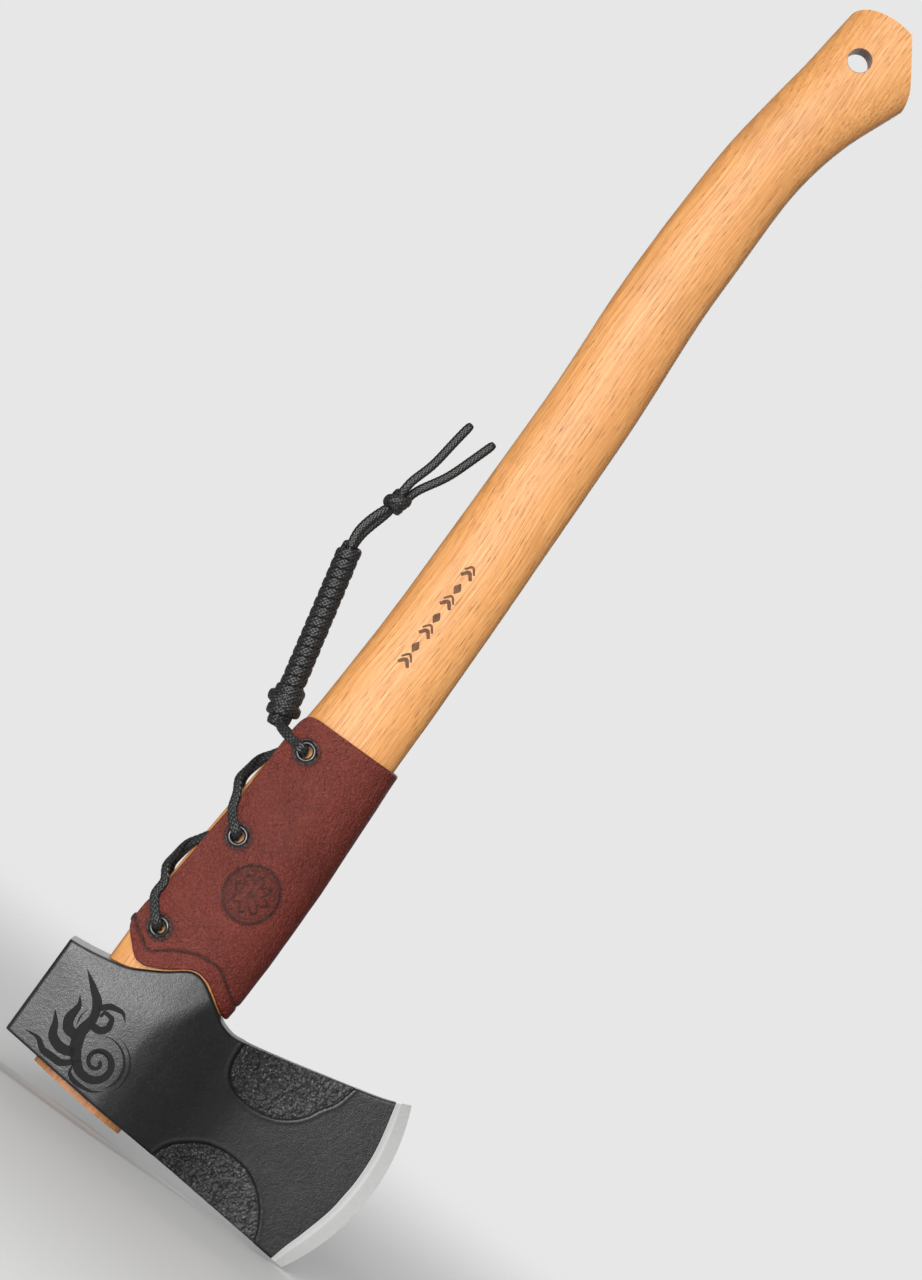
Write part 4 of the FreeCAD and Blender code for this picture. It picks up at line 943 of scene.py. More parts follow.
def head_grid():
    """side-view grid, the number of body columns and the bevel columns' fractions"""
    columns, rows, bevel_columns = ((318, 140, 12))
    # first lines by the poll and by the upper and lower edges
    poll_lines = np.array([0, 0.2, 0.65, 1.3, 2.1]) / GRID_LENGTH
    edge_lines = np.array([0, 0.10, 0.32, 0.70, 1.20]) / GRID_HEIGHT
    stations = head_stations(2.8 / GRID_LENGTH, 1 - 1.2 / GRID_LENGTH, columns - 7)
    u = np.concatenate([poll_lines, stations, [1 - 0.5 / GRID_LENGTH, 1.0]])
    inner = np.linspace(1.9 / GRID_HEIGHT, 1 - 1.9 / GRID_HEIGHT, rows - 10)
    v = np.concatenate([edge_lines, inner, 1 - edge_lines[::-1]])
    corner = np.array([POLL_X, POLL_Z])
    lower = corner + (np.array([TOE_X, TOE_Z]) - corner) * u[:, None]
    upper = at_fractions(UPPER_EDGE, u)
    poll = corner + np.array([0, UPPER_EDGE[0, 1] - POLL_Z]) * v[:, None]
    bevel = at_fractions(BEVEL_EDGE, v)
    lower[-1], upper[-1] = bevel[0], bevel[-1]
    body = coons(lower, upper, poll, bevel, u, v)
    across = np.linspace(0, 1, bevel_columns + 1)[1:]
    t = across[:, None, None]
    ground = bevel[None] * (1 - t) + cutting_edge(v)[None] * t
    return np.concatenate([body, ground], 0), len(body), across


def field_depth(x, z):
    """signed distance into the hollowed fields, positive inside"""
    depth = np.full(x.shape, -99.0)
    for line, polygon in FIELDS:
        away = line_distance(x, z, line)
        depth = np.maximum(depth, np.where(in_polygon(x, z, polygon), away, -away))
    return depth


def cheek(x, z):
    """half thickness of the head without the fields: the two limits, blended at their meeting"""
    a, b = half_by_x(x), half_by_z(z)
    blend = 0.9
    share = np.clip(0.5 + 0.5 * (b - a) / blend, 0, 1)
    return b * (1 - share) + a * share - blend * share * (1 - share)


def cheek_wave(x, z):
    return fractal(x / 34, z / 34, 8.1, octaves=2, seed=33) * 0.10


def half_thickness(side, x, z, field, hollow, borders, body, across):
    """one side's surface; borders are (distance to the outline, rounding radius)"""
    shift = 0.0 if side < 0 else 40.0
    rough = (fractal(x / 1.9 + shift, z / 1.9, 0.3, octaves=3, seed=21, gain=0.66) * 0.66
             + fractal(x / 0.95 + shift, z / 0.95, 4.3, octaves=2, seed=5) * 0.60)
    y = cheek(x, z) + cheek_wave(x, z) * (1 - hollow)
    # raised lip round each field, its sunk rough floor and a groove inside the border
    y = y + 0.13 * np.exp(-((field + 0.9) / 0.8) ** 2) * (x < 112)
    y = (y - hollow * 1.45 + smooth(0.6, 2.0, field) * rough
         - 0.30 * np.exp(-((field - 0.9) / 0.6) ** 2))
    # the bevel drops by a shoulder, then runs straight to the cutting edge
    cut_half, shoulder = 0.07, 0.35
    t = across[:, None]
    y[body:] = (cut_half + (y[body - 1][None] - shoulder - cut_half) * (1 - t)
                + shoulder * np.clip(1 - t * 6, 0, 1))
    on_body = np.arange(len(y))[:, None] < body
    for distance, radius in borders:
        inset = np.clip(1 - distance / radius, 0, 1)
        drop = radius * (1 - np.sqrt(1 - inset * inset * 0.97)) * np.minimum(1, y / 4)
        y = np.where(on_body, y - drop, y)
    return np.maximum(y, 0.05)


def eye_cutter():
    turn = np.linspace(0, 2 * np.pi, 72, endpoint=False)
    round_x, round_y = (signed_power(v, 2 / POWER) for v in (np.cos(turn), np.sin(turn)))
    rings = []
    for z in (-24.0, 4, 20, 36, 50, 60, 70, 80, 92):
        rear, front, half = float(eye_rear(z)), float(eye_front(z)), float(eye_half(z))
        rings.append(np.stack([(rear + front) / 2 + (front - rear) / 2 * round_x,
                               half * round_y, np.full(72, z)], -1))
    return closed_rings("eye_cutter", rings)


def make_head():
    grid, body, across = head_grid()
    x, z = grid[..., 0], grid[..., 1]
    columns, rows = x.shape
    field = field_depth(x, z)
    hollow = smooth(0.0, 1.05, field)
    top_line = grid[:, -1]
    to_top = line_distance(x, z, np.vstack([top_line[::2], top_line[-1:]]))
    to_bottom = np.abs((z - POLL_Z) * HEAD_LENGTH + (x - POLL_X) * LOWER_DROP) / math.hypot(
        HEAD_LENGTH, LOWER_DROP)
    to_poll = x - POLL_X
    borders = ((to_top, 1.15), (to_bottom, 1.15), (to_poll, 2.2))
    edge = np.exp(-np.minimum(np.minimum(to_top, to_bottom), to_poll) / 0.9)
    lips = np.exp(-((field + 0.4) / 0.7) ** 2) * 0.25

    verts, worn, faces = [], [], []
    index = np.arange(x.size).reshape(x.shape)
    for _, side in SIDES:
        half = half_thickness(side, x, z, field, hollow, borders, body, across)
        verts.append(np.stack([x, side * half, z], -1).reshape(-1, 3))
        patches = smooth(-0.05, 0.45, fractal(x / 9, z / 9, side * 3.0, octaves=3, seed=12))
        worn.append((np.clip(edge * patches, 0, 1) * 0.9 + lips * 0.4).reshape(-1))
        faces.append(grid_quads(index if side < 0 else index + x.size, flip=side > 0))
    left, right = index, index + x.size
    faces += [strip_quads(left[:, 0], right[:, 0], flip=True),
              strip_quads(left[:, -1], right[:, -1]),
              strip_quads(left[0], right[0]),
              strip_quads(left[-1], right[-1], flip=True)]
    # slot 1 is the ground bevel
    bevel = np.where(np.arange(columns - 1) >= body - 1, 1, 0)
    side_mats = np.repeat(bevel, rows - 1)
    mat_index = np.concatenate([side_mats, side_mats, bevel, bevel,
                                np.zeros(rows - 1, int), np.ones(rows - 1, int)])
    head = build("head_steel", np.vstack(verts), np.vstack(faces), mats=(FORGED, GROUND),
                 mat_index=mat_index, sharp_angle=SHARP_ANGLE)
    cut = np.zeros(x.shape)
    cut[body:] = across[:, None]
    add_attribute(head, "rough", np.tile(hollow.reshape(-1), 2))
    add_attribute(head, "worn", np.concatenate(worn))
    add_attribute(head, "cut", np.tile(cut.reshape(-1), 2))
    carve(head, [eye_cutter()])
    shade(head.data, sharp_angle=SHARP_ANGLE)
    register(head, body="axe", piece="axe_head")


make_head()


# ---------------------------------------------------------------- inlays on the left face
def inlay(name, strokes, surface, mat, lift, sink=0.10):
    """closed thin ribbons; a stroke is (points (x, z), half widths along it)"""
    verts, faces = [], []
    for points, widths in strokes:
        count = max(int(travelled(points)[-1] / 0.7), 6)
        line = arc_points(points, count)
        half = np.interp(np.linspace(0, 1, count), np.linspace(0, 1, len(widths)), widths)
        along = np.gradient(line, axis=0)
        along /= np.linalg.norm(along, axis=1)[:, None] + 1e-9
        across = np.stack([-along[:, 1], along[:, 0]], -1)
        ribbon = line[:, None] + across[:, None] * (half[:, None, None]
                                                    * np.linspace(-1, 1, 5)[None, :, None])
        x, z = ribbon[..., 0], ribbon[..., 1]
        height = surface(x, z)
        top = np.arange(x.size).reshape(x.shape) + len(verts)
        bottom = top + x.size
        for level in (height + lift, height - sink):
            verts.extend(np.stack([x, -level, z], -1).reshape(-1, 3).tolist())
        for part in (grid_quads(top, flip=True), grid_quads(bottom),
                     strip_quads(top[:, 0], bottom[:, 0]),
                     strip_quads(top[:, -1], bottom[:, -1], flip=True),
                     strip_quads(top[0], bottom[0], flip=True),
                     strip_quads(top[-1], bottom[-1])):
            faces.extend(part.tolist())
    return build(name, verts, faces, mats=(mat,), smooth_shade=False)


VOLUTE_X, VOLUTE_Z = -1.0, 19.8


def volute(start_radius, end_radius, start_angle, turns, count):
    t = np.linspace(0, 1, count)
    angle = start_angle + 2 * math.pi * turns * t
    radius = start_radius + (end_radius - start_radius) * t
    return np.stack([VOLUTE_X + radius * np.cos(angle), VOLUTE_Z + radius * np.sin(angle)], -1)


def taper(width):
    """half widths that swell from a thin start and thin out again"""
    t, peak = np.linspace(0, 1, 9), 0.35
    swell = np.where(t < peak, (t / peak) ** 0.6, ((1 - t) / (1 - peak)) ** 0.8)
    return width * swell + 0.06


SCROLL = [
    # a volute
    (volute(0.8, 9.4, 1.15, -1.6, 40), [0.9, 1.0, 1.3, 1.6, 2.0, 2.4]),
    # a broad flame rising from it
    ([(-9.2, 14.6), (-13.4, 20.4), (-15.2, 27.6), (-14.4, 34.6), (-16.6, 41.4),
      (-22.6, 46.6), (-29.6, 51.6)], [2.4, 3.0, 2.7, 2.1, 2.3, 1.5, 0.12]),
    # lobes on both sides of the flame
    ([(-15.2, 24.0), (-20.4, 24.6), (-23.4, 29.6), (-23.0, 35.4), (-25.6, 40.4)],
     [2.3, 2.6, 2.3, 1.4, 0.12]),
    ([(-12.0, 17.4), (-18.6, 15.6), (-24.6, 17.8), (-27.4, 23.4), (-31.0, 28.4)],
     [2.2, 2.5, 2.3, 1.5, 0.12]),
    ([(-9.6, 13.8), (-16.0, 9.8), (-23.8, 9.8), (-30.4, 13.2), (-36.4, 12.8)],
     [1.2, 1.8, 1.8, 1.1, 0.12]),
    ([(-14.6, 32.0), (-9.6, 32.2), (-6.2, 35.8), (-7.6, 40.2), (-11.6, 40.6),
      (-12.2, 37.6)], [1.6, 1.9, 1.7, 1.3, 1.0, 0.6]),
    ([(-15.2, 40.0), (-10.8, 44.2), (-5.2, 45.2), (-1.4, 42.2)], [1.3, 1.6, 1.1, 0.12]),
    # thin arcs
    ([(-9.8, 13.0), (-8.4, 8.6), (-3.0, 6.6), (3.6, 7.2), (9.2, 11.0)], taper(1.2)),
    (volute(12.2, 12.8, -0.75, 0.44, 20), taper(0.7)),
    (volute(15.0, 15.2, -0.45, 0.30, 16), taper(0.5)),
    (volute(4.9, 5.3, 2.6, -0.42, 16), taper(0.35)),
    ([(-18.8, 28.0), (-19.6, 33.0), (-18.6, 37.8)], taper(0.35))]


def make_scroll():
    def surface(x, z):
        return cheek(x, z) + cheek_wave(x, z)

    scroll = inlay("scroll_etching", SCROLL, surface, ETCHED, lift=0.05)
    register(scroll, body="axe")


def haft_side(x, z):
    """half width of the haft at a side-view point"""
    rear, front = haft_rear(z), haft_front(z)
    across = np.clip(np.abs((x - (front + rear) / 2) / ((front - rear) / 2)), 0, 0.999)
    return haft_half(z) * (1 - across**POWER) ** (1 / POWER)


def make_brand():
    """a column of double chevrons and lozenges by turns"""
    first_z, pitch, middle, reach = 251.5, 8.2, 4.9, 2.7
    strokes = []
    for k in range(7):
        z = first_z + pitch * k
        if k % 2:
            strokes.append(([(middle, z - 2.9), (middle, z), (middle, z + 2.9)],
                            [0.15, 2.1, 0.15]))
            continue
        for foot, widths in ((z - 1.9, [0.75, 1.0, 0.75]), (z + 1.1, [0.45, 0.6, 0.45])):
            strokes.append(([(middle - reach, foot), (middle, foot + 2.8),
                             (middle + reach, foot)], widths))
    brand = inlay("burned_pattern", strokes, haft_side, BURNED, lift=0.03)
    register(brand, body="axe")


make_scroll()
make_brand()


# ---------------------------------------------------------------- cord builder
def cubic(points):
    """natural cubic spline: its position function and its parameter at each point"""
    points = np.asarray(points, float)
    t = travelled(points, power=0.8)
    count = len(points)
    h = np.diff(t)
    matrix = np.zeros((count, count))
    right = np.zeros((count, points.shape[1]))
    matrix[0, 0] = matrix[-1, -1] = 1
    for i in range(1, count - 1):
        matrix[i, i - 1:i + 2] = h[i - 1], 2 * (h[i - 1] + h[i]), h[i]
        right[i] = 6 * ((points[i + 1] - points[i]) / h[i]
                        - (points[i] - points[i - 1]) / h[i - 1])
    bend = np.linalg.solve(matrix, right)

    def position(u):
        u = np.clip(np.asarray(u, float), t[0], t[-1])
        i = np.clip(np.searchsorted(t, u, side="right") - 1, 0, count - 2)
        a, b, gap = (t[i + 1] - u)[:, None], (u - t[i])[:, None], h[i][:, None]
        return (bend[i] * a**3 / (6 * gap) + bend[i + 1] * b**3 / (6 * gap)
                + (points[i] / gap - bend[i] * gap / 6) * a
                + (points[i + 1] / gap - bend[i + 1] * gap / 6) * b)

    return position, t


def cord(name, path, half_width, half_thick, step=0.28, around=46, strands=8, plait=2.1,
         relief=0.22, power=2.3, end_cap=0.5, widths=None):
    """a plaited cord with a flattened section

    path is (points, directions its flat side faces). plait is the length of one plait and
    relief its height. widths is (fractions of length, half widths, half thicknesses).
    """
    points, facings = path
    position, knots = cubic(points)
    fine = np.linspace(knots[0], knots[-1], 6000)
    run = travelled(position(fine))
    length = run[-1]
    along = np.linspace(0, length, max(int(length / step), 8) + 1)
    at = np.interp(along, run, fine)
    centre = position(at)
    tangent = unit(np.gradient(centre, along, axis=0))
    facings = np.array(facings, float)
    for i in range(1, len(facings)):
        if facings[i] @ facings[i - 1] < 0:
            facings[i] = -facings[i]
    normal = np.stack([np.interp(at, knots, column) for column in facings.T], -1)
    normal = unit(normal - tangent * np.sum(normal * tangent, 1)[:, None])
    across = np.cross(tangent, normal)
    # points evenly spaced round the section
    turn = np.linspace(0, 2 * np.pi, 721)
    outline = np.stack([signed_power(v, 2 / power) for v in (np.cos(turn), np.sin(turn))], -1)
    girth = travelled(outline * [half_width, half_thick])
    even = np.linspace(0, girth[-1], around, endpoint=False)
    section_x, section_y = (np.interp(even, girth, column) for column in outline.T)
    angle = 2 * np.pi * even / girth[-1]
    half_w, half_t = np.full(len(along), half_width), np.full(len(along), half_thick)
    if widths is not None:
        half_w, half_t = (np.interp(along / length, widths[0], row) for row in widths[1:])
    # two sets of strands winding opposite ways
    phase = 2 * np.pi * along / plait
    strand = np.maximum(np.cos(strands * angle[None, :] + phase[:, None]),
                        np.cos(strands * angle[None, :] - phase[:, None]))
    raised = relief * (strand - 0.45)
    # weave is low in the gaps and towards the narrow edges, where the cord material paints shade
    weave = np.clip(strand, 0, 1) ** 2 * (1 - 0.7 * np.abs(section_x)[None, :] ** 8)
    out_x = (half_w[:, None] + raised) * section_x[None, :]
    out_y = (half_t[:, None] + raised) * section_y[None, :]
    rings = (centre[:, None, :] + across[:, None, :] * out_x[..., None]
             + normal[:, None, :] * out_y[..., None])

    def cap_rings(end, outward):
        """shrinking rings that round off an end: fraction of the cap, scale"""
        return [centre[end] + (rings[end] - centre[end]) * scale + outward * way
                for way, scale in ((0.30, 0.955), (0.62, 0.78), (0.88, 0.48))]

    head_way, tail_way = -tangent[0] * 0.5, tangent[-1] * end_cap
    stack = np.concatenate([cap_rings(0, head_way)[::-1], rings, cap_rings(-1, tail_way)], 0)
    levels, count = stack.shape[:2]
    verts = np.vstack([stack.reshape(-1, 3), centre[0] + head_way, centre[-1] + tail_way])
    tip, last = levels * count, (levels - 1) * count
    faces = ring_quads(levels, count).tolist()
    faces += [[tip, j, (j + 1) % count] for j in range(count)]
    faces += [[tip + 1, last + (j + 1) % count, last + j] for j in range(count)]
    obj = build(name, verts, faces, mats=(CORD,))
    add_attribute(obj, "weave", np.concatenate([
        np.tile(weave[0], 3), weave.reshape(-1), np.tile(weave[-1], 3), [0.5, 0.5]]))
    return obj


# ---------------------------------------------------------------- lace and lanyard leads
LACE_HALF = 1.2                                # nominal half thickness of the lace
LEATHER_FACE = LEATHER_GAP + LIFT + THICK      # outer face of the leather above the haft
# heights of the lace's centre line above the haft
ON_HAFT = LACE_HALF + 0.2
ON_LEATHER = LEATHER_FACE + LACE_HALF + 0.15
OVER_LACE = ON_HAFT + 2 * LACE_HALF + 0.25
BAR_Z = 82.6                                   # the lace's lowest bar, at the rear
LACE_WEAVE = dict(strands=6, plait=2.5, relief=0.30)

# paths below are lists of (point, facing)


def lay(degrees, z, off, side):
    return skin(side * math.radians(degrees), z, off)


def level_way(normal, way):
    """unit direction of way within the eyelet's plane"""
    return unit(way - normal * (normal @ way))


def quarter_turn(centre, first, last, radius, degrees):
    ways = [first * math.cos(q) + last * math.sin(q) for q in map(math.radians, degrees)]
    return [(centre + way * radius, way) for way in ways]


def rise(seat, came):
    """bend from under the leather up through an eyelet"""
    bend, hold = 2.2, 0.9
    back = level_way(seat.normal, came - seat.point)
    centre = (seat.point + back * (hold + bend)
              + seat.normal * (ON_HAFT - LEATHER_FACE + bend))
    return quarter_turn(centre, seat.normal, back, -bend, (0, 25, 50, 75, 90))


def leave(seat, goes):
    """bend out of an eyelet and over the leather"""
    bend, hold, level = 2.7, 0.6, 0.2
    onward = level_way(seat.normal, goes - seat.point)
    centre = seat.point + onward * (hold + bend) + seat.normal * level
    return quarter_turn(centre, -onward, seat.normal, bend, (0, 22, 45, 68, 90))


def crossing(start, end, side, over):
    """run over the leather, across the rear and under the leather to the far eyelet"""
    middle = OVER_LACE if over else ON_HAFT
    # degrees from the front, fraction of the climb, height above the haft
    run = [(start.degrees + 18, 0.135, ON_LEATHER + 0.25),
           (start.degrees + 24, 0.215, ON_LEATHER + 0.05),
           (148, 0.33, ON_LEATHER - 0.1),
           (158, 0.43, middle + (3.4 if over else 4.0)),
           (169, 0.54, middle + (1.1 if over else 1.4)),
           (180, 0.64, middle),
           (188, 0.705, middle - (0.9 if over else 0.0)),
           (196, 0.765, ON_HAFT + (0.45 if over else 0.0)),
           (205, 0.825, ON_HAFT),
           (215, 0.88, ON_HAFT),
           (225, 0.92, ON_HAFT),
           (360 - end.degrees - 11.5, 0.965, ON_HAFT)]
    climb = end.z - start.z
    return [lay(degrees, start.z + part * climb, off, side) for degrees, part, off in run]


def lace_half(side, over_first):
    """half the lace, from the lowest bar to an upper eyelet"""
    here, there = ("left", "right") if side < 0 else ("right", "left")
    lower, middle, upper = SEATS["lower", here], SEATS["middle", there], SEATS["upper", here]
    bar = [lay(degrees, BAR_Z + 0.0012 * (180 - degrees) ** 2, ON_HAFT, side)
           for degrees in (172, 163, 154, 145, 138)]
    first = crossing(lower, middle, side, over_first)
    second = crossing(middle, upper, -side, not over_first)
    back = level_way(upper.normal, second[-1][0] - upper.point)
    end = [(upper.point + back * aside + upper.normal * height, back)
           for aside, height in ((0.8, -1.4), (0.7, -0.3))]
    return (bar + rise(lower, bar[-1][0]) + leave(lower, first[0][0]) + first
            + rise(middle, first[-1][0]) + leave(middle, second[0][0]) + second
            + rise(upper, second[-1][0]) + end)


def make_lace():
    whole = (lace_half(1, False)[::-1] + [lay(180, BAR_Z, ON_HAFT, 1)]
             + lace_half(-1, True))
    lace = cord("lace_cord", tuple(zip(*whole)), half_width=2.25, half_thick=1.2, **LACE_WEAVE)
    register(lace, body="axe", piece="lace")


# a lead's way from the leather to the lanyard: point, facing; y is for the right side
LEAD_END = [((-22.4, 10.0, 193.2), (-0.75, 0.66, 0)), ((-24.4, 7.2, 194.0), (-0.9, 0.4, 0)),
            ((-25.9, 5.0, 195.6), (-0.95, 0.3, 0)), ((-26.9, 3.2, 198.2), (-0.97, 0.2, 0)),
            ((-27.9, 2.3, 201.5), (-0.97, 0.2, 0.1))]


def make_lead(name, side):
    """cord from an upper eyelet back to the lanyard"""
    seat = SEATS["upper", name]
    run = [lay(degrees, z, off, side) for degrees, z, off in (
        (seat.degrees + 17, 191.9, ON_LEATHER + 0.25),
        (seat.degrees + 24, 192.2, ON_LEATHER + 0.1),
        (148, 192.5, ON_LEATHER - 0.05))]
    mirror = np.array([1, side, 1])
    end = [(point * mirror, facing * mirror) for point, facing in LEAD_END]
    path = tuple(zip(*(leave(seat, run[0][0]) + run + end)))
    lead = cord("lanyard_lead_" + name + "_cord", path, half_width=2.2, half_thick=1.25,
                **LACE_WEAVE)
    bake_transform(lead)
    register(lead, piece="lanyard_lead_" + name)


make_lace()
for side_name, side_sign in SIDES:
    make_lead(side_name, side_sign)

# ---------------------------------------------------------------- lanyard
# a winding frame is its origin, axis and two directions square to the axis
WHIP_START, WHIP_END = np.array([-27.3, 0, 197.2]), np.array([-46.5, 0, 280.2])
WHIP_LENGTH = np.linalg.norm(WHIP_END - WHIP_START)
WHIP_AXIS = unit(WHIP_END - WHIP_START)
WHIPPING = (WHIP_START, WHIP_AXIS, np.array([WHIP_AXIS[2], 0, -WHIP_AXIS[0]]),
            np.array([0, 1.0, 0]))
KNOT_AXIS = unit(np.array([0.20, 0.0, 0.98]))
KNOT = (np.array([-41.0, 0, 309.0]), KNOT_AXIS,
        np.array([KNOT_AXIS[2], 0, -KNOT_AXIS[0]]), np.array([0, -1.0, 0]))
COIL = dict(step=0.30, strands=7, plait=2.3, relief=0.26)


def wound(winding, angle, along, radius):
    """path round an axis, its flat side facing out"""
    origin, axis, first, second = winding
    out = np.outer(np.cos(angle), first) + np.outer(np.sin(angle), second)
    return origin + np.outer(along, axis) + out * radius[:, None], out


def make_wrap():
    """the long even whipping, tucked in at both ends"""
    t = np.linspace(0, 1, 351)
    angle = -0.6 + 2 * math.pi * 14.6 * t
    radius = (4.62 - 0.22 * t - 2.2 * np.maximum(0.0, (t - 0.982) / 0.018) ** 2
              - 1.5 * np.maximum(0.0, (0.02 - t) / 0.02) ** 2
              + 0.05 * np.sin(angle * 0.5 + 1.3))
    path = wound(WHIPPING, angle, 13.2 + (84.4 - 13.2) * t, radius)
    wrap = cord("coil_wrap_cord", path, half_width=2.50, half_thick=1.28, power=2.9, **COIL)
    register(wrap, body="whipping", piece="coil_wrap")


# the first turns of the whipping: turn, distance along the axis, radius
BASE_TURNS = np.array([
    (0.0, -3.6, 2.2), (0.5, -2.4, 3.5), (1.0, -0.4, 4.7), (1.5, 2.0, 5.7), (2.0, 4.6, 6.2),
    (2.5, 7.2, 6.3), (3.0, 9.6, 6.0), (3.5, 11.6, 5.5), (4.0, 13.0, 5.0)])


def make_base():
    """wide first turns, and a cord wound back over them"""
    turns = np.linspace(0, BASE_TURNS[-1, 0], 90)
    along, radius = (column(turns) for column in column_curves(BASE_TURNS))
    path = wound(WHIPPING, 0.4 + 2 * math.pi * turns * 0.98, along, radius)
    base = cord("coil_base_cord", path, half_width=2.4, half_thick=1.3, power=2.8, **COIL)
    t = np.linspace(0, 1, 40)
    radius = 7.35 + 0.5 * np.sin(math.pi * t) - 1.2 * np.abs(2 * t - 1) ** 6
    path = wound(WHIPPING, 2.2 - 2 * math.pi * 1.35 * t, 0.6 + (12.2 - 0.6) * t, radius)
    over = cord("coil_base_over_cord", path, half_width=2.1, half_thick=1.0, around=42,
                **{**COIL, "strands": 6})
    for obj in (base, over):
        register(obj, body="whipping", piece="coil_base_turns")


def make_core(name, side):
    """straight cord inside the whipping"""
    # distance along the axis, y
    inside = [WHIP_START + WHIP_AXIS * along + [0, side * y, 0]
              for along, y in ((5, 1.4), (25, 1.4), (55, 1.4), (80, 1.5))]
    end = WHIP_START + WHIP_AXIS * (WHIP_LENGTH + 1.5) + [-0.2, side * 1.7, 0]
    points = [np.array([-25.6, side * 1.5, 195.2])] + inside + [end]
    core = cord("coil_core_" + name + "_cord", (points, [[0, side, 0.0]] * len(points)),
                half_width=1.25, half_thick=1.2, step=0.6, around=18, relief=0.1)
    register(core, body="whipping", piece="coil_core_" + name)


# the two strands between whipping and knot: x, y, z
LINKS = {
    "left": [(-46.6, -1.7, 279.4), (-47.2, -1.8, 282.6), (-47.7, -1.9, 286.6),
             (-47.2, -2.0, 291.6), (-45.6, -1.9, 297.6), (-43.8, -1.4, 302.2),
             (-43.1, -1.0, 303.9)],
    "right": [(-45.8, 1.7, 279.4), (-45.9, 1.8, 282.6), (-45.7, 1.9, 286.8),
              (-44.6, 2.0, 292.2), (-43.0, 1.9, 298.0), (-42.0, 1.4, 302.2),
              (-41.8, 1.0, 303.9)]}


def make_link(name, side):
    points = LINKS[name]
    link = cord("link_" + name + "_cord", (points, [[0, side, 0.0]] * len(points)),
                half_width=2.1, half_thick=1.7, step=0.30, around=40)
    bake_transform(link)
    register(link, piece="link_strand_" + name)


def make_knot():
    """turns round the knot's axis, and one half turn laid over them"""
    weave = dict(around=40, strands=7, plait=2.2, relief=0.24)
    t = np.linspace(0, 1, 80)
    radius = 3.2 - 1.7 * np.maximum(0.0, (np.abs(2 * t - 1) - 0.86) / 0.14) ** 2
    path = wound(KNOT, -2.4 + 2 * math.pi * 2.25 * t, -3.9 + (3.7 + 3.9) * t, radius)
    knot = cord("overhand_knot_cord", path, half_width=2.2, half_thick=1.7, power=2.5, **weave)
    t = np.linspace(0, 1, 60)
    radius = 4.7 + 0.45 * np.sin(math.pi * t) - 2.3 * np.abs(2 * t - 1) ** 4
    path = wound(KNOT, 0.1 + 2 * math.pi * 0.52 * t, 3.9 + (-4.1 - 3.9) * t, radius)
    over = cord("knot_over_cord", path, half_width=2.1, half_thick=1.45, **weave)
    for obj in (knot, over):
        register(obj, body="knot", piece="overhand_knot")


# the free ends: points x, y, z in mm, a body name, and two blend points in metres
TAILS = {
    "left": ([(-41.9, -1.8, 313.0), (-41.7, -2.4, 316.5), (-41.2, -2.6, 320.4),
              (-39.6, -2.4, 326.0), (-37.9, -2.3, 332.2), (-36.5, -2.2, 342.2),
              (-35.2, -2.2, 352.2), (-34.4, -2.2, 357.2)],
             "tail_one", (-0.0418, 0, 0.3150), (-0.0414, 0, 0.3190)),
    "right": ([(-38.4, 1.8, 312.6), (-37.6, 2.4, 316.0), (-35.9, 2.6, 320.0),
               (-32.4, 2.4, 326.0), (-29.1, 2.3, 332.2), (-25.4, 2.2, 342.2),
               (-22.2, 2.2, 351.8), (-20.8, 2.2, 356.2)],
              "tail_two", (-0.0384, 0, 0.3140), (-0.0370, 0, 0.3180))}
# fraction of length, half width, half thickness
TAIL_WIDTHS = ([0, 0.93, 0.97, 1.0], [2.05, 2.05, 1.95, 1.6], [1.75, 1.75, 1.65, 1.35])
MELTED_LENGTH = 1.6


def make_tail(name, side):
    points, body, start, end = TAILS[name]
    tail = cord("tail_" + name + "_cord", (points, [[0, side, 0.0]] * len(points)),
                half_width=2.1, half_thick=1.8, step=0.29, around=40, widths=TAIL_WIDTHS,
                end_cap=0.8)
    mesh = tail.data
    mesh.materials.append(MELTED)
    # the melted tip, with a ragged border
    tip_z = max(p[2] for p in points) - MELTED_LENGTH
    coords = np.zeros(len(mesh.vertices) * 3)
    mesh.vertices.foreach_get("co", coords)
    z = coords.reshape(-1, 3)[:, 2] * 1000
    mats = [1 if min(z[v] for v in poly.vertices) > tip_z + 0.4 * math.sin(poly.index) else 0
            for poly in mesh.polygons]
    mesh.polygons.foreach_set("material_index", mats)
    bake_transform(tail)
    register(tail, piece="tail_" + name)


make_wrap()
make_base()
for side_name, side_sign in SIDES:
    make_core(side_name, side_sign)
for side_name, side_sign in SIDES:
    make_link(side_name, side_sign)
make_knot()
for side_name, side_sign in SIDES:
    make_tail(side_name, side_sign)


# ---------------------------------------------------------------- CAD pieces that stay
def paint(name, mat):
    materials = bpy.data.objects[name].data.materials
    materials.clear()
    materials.append(mat)


for eyelet, _, _ in EYELETS:
    for side_name, _ in SIDES:
        paint("eyelet_%s_%s" % (side_name, eyelet), EYELET)
        paint("washer_%s_%s" % (side_name, eyelet), EYELET)
paint("wood_wedge", WEDGE_WOOD)
paint("steel_wedge", WEDGE_STEEL)
paint("haft", WOOD)

# ---------------------------------------------------------------- floor, light and camera
FLOOR_Z = -9.4
FLOOR_RINGS = (50, 100, 200, 350, 600, 1000, 1600, 2600)   # radii
FLOOR_SEGMENTS = 96


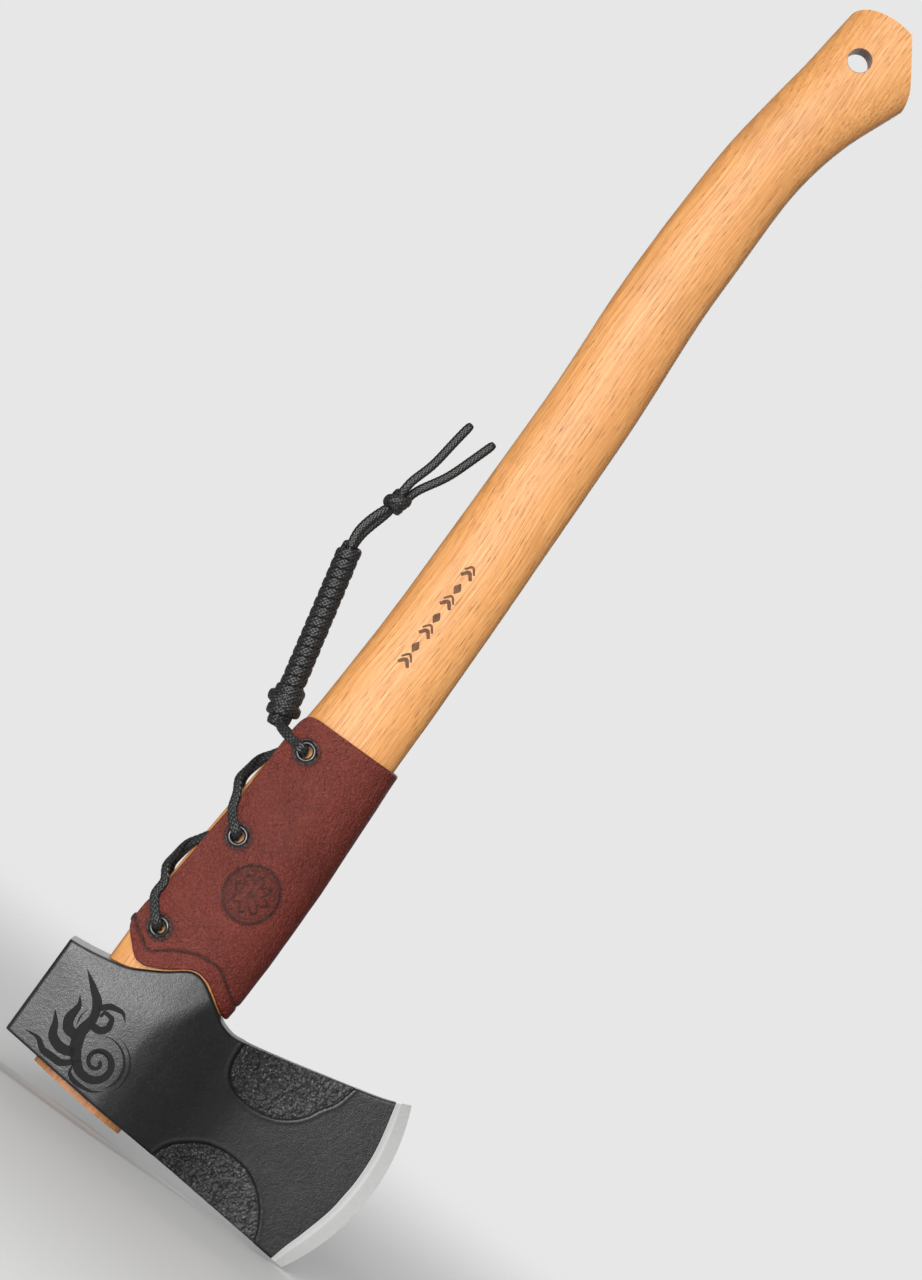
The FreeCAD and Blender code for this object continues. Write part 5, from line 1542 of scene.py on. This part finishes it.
def floor_material():
    """pale matt floor that fades to clear away from the middle"""
    mat, g = material("pale_floor")
    x, y, _ = g.xyz(g.coord())
    g.surface({"Base Color": (0.74, 0.74, 0.735, 1), "Roughness": 0.9,
               "Specular IOR Level": 0.1})
    fade = g.length(x, y).span(start=0.18, end=0.95)
    fade = g.math("MULTIPLY", fade * fade, 3.0 - fade * 2.0, clamp=True)
    clear = g.node("ShaderNodeBsdfTransparent")
    mixed = g.node("ShaderNodeMixShader")
    g.put(mixed.inputs[0], fade)
    g.tree.links.new(g.shader.outputs[0], mixed.inputs[1])
    g.tree.links.new(clear.outputs[0], mixed.inputs[2])
    g.tree.links.new(mixed.outputs[0], g.output.inputs[0])
    return mat


def make_floor():
    n = FLOOR_SEGMENTS
    turns = [2 * math.pi * i / n for i in range(n)]
    verts = [(0, 0, FLOOR_Z)]
    verts += [(r * math.cos(a), r * math.sin(a), FLOOR_Z) for r in FLOOR_RINGS for a in turns]
    faces = [[0, 1 + i, 1 + (i + 1) % n] for i in range(n)]
    faces += (ring_quads(len(FLOOR_RINGS), n) + 1).tolist()
    build("floor_disc", verts, faces, mats=(floor_material(),))


def make_world():
    """light grey to the camera, dim and slightly blue as light"""
    world = bpy.data.worlds.new("studio")
    scene.world = world
    world.use_nodes = True
    g = Graph(world.node_tree)
    g.tree.nodes.clear()
    output = g.node("ShaderNodeOutputWorld")
    rays = g.node("ShaderNodeLightPath")
    mixed = g.node("ShaderNodeMixShader")
    g.tree.links.new(rays.outputs["Is Camera Ray"], mixed.inputs[0])
    # mix input, colour, strength
    for slot, colour, strength in ((1, (0.93, 0.96, 1.0, 1), 0.12),
                                   (2, (0.80, 0.80, 0.80, 1), 1.0)):
        background = g.made("ShaderNodeBackground", {0: colour, 1: strength})
        g.put(mixed.inputs[slot], background)
    g.tree.links.new(mixed.outputs[0], output.inputs[0])


def softbox(name, at, look, size, power, tint=(1, 1, 1)):
    light = bpy.data.lights.new(name, "AREA")
    light.shape = "RECTANGLE"
    light.size, light.size_y = size
    light.energy = power
    light.color = tint
    obj = bpy.data.objects.new(name, light)
    scene.collection.objects.link(obj)
    obj.location = at
    obj.rotation_euler = (Vector(look) - Vector(at)).to_track_quat("-Z", "Y").to_euler()
    obj.visible_camera = False


def make_camera():
    """looks along +Y, rolled so that the haft leans in the picture"""
    data = bpy.data.cameras.new("camera")
    camera = bpy.data.objects.new("camera", data)
    scene.collection.objects.link(camera)
    data.sensor_width = 36.0
    data.sensor_fit = "AUTO"
    data.lens = 146.2862
    data.clip_start, data.clip_end = 0.05, 20
    camera.matrix_world = Matrix(((0.809, -0.588, 0, 0.020),
                                  (0, 0, -1, -2.4),
                                  (0.588, 0.809, 0, 0.2745),
                                  (0, 0, 0, 1)))
    scene.camera = camera


make_floor()
make_world()
softbox("key", at=(-0.56, -2.05, 0.46), look=(0.0, 0, 0.26), size=(1.35, 1.35), power=49.5,
        tint=(1.0, 0.985, 0.965))
softbox("sheen", at=(-0.26, -2.0, 0.20), look=(0.0, 0, 0.08), size=(0.62, 0.40), power=12.0,
        tint=(1.0, 0.99, 0.98))
softbox("fill", at=(1.5, -0.9, 0.6), look=(0.02, 0, 0.28), size=(0.9, 1.4), power=1.8,
        tint=(0.95, 0.98, 1.0))
softbox("top", at=(-0.1, -0.1, 1.9), look=(0, 0, 0.3), size=(1.2, 1.0), power=9)
softbox("back", at=(0.2, 1.7, 0.9), look=(0, 0, 0.3), size=(1.8, 1.4), power=12)
make_camera()
scene.view_settings.view_transform = "Standard"
scene.view_settings.look = "None"
scene.view_settings.exposure = 0.0
scene.view_settings.gamma = 1.0
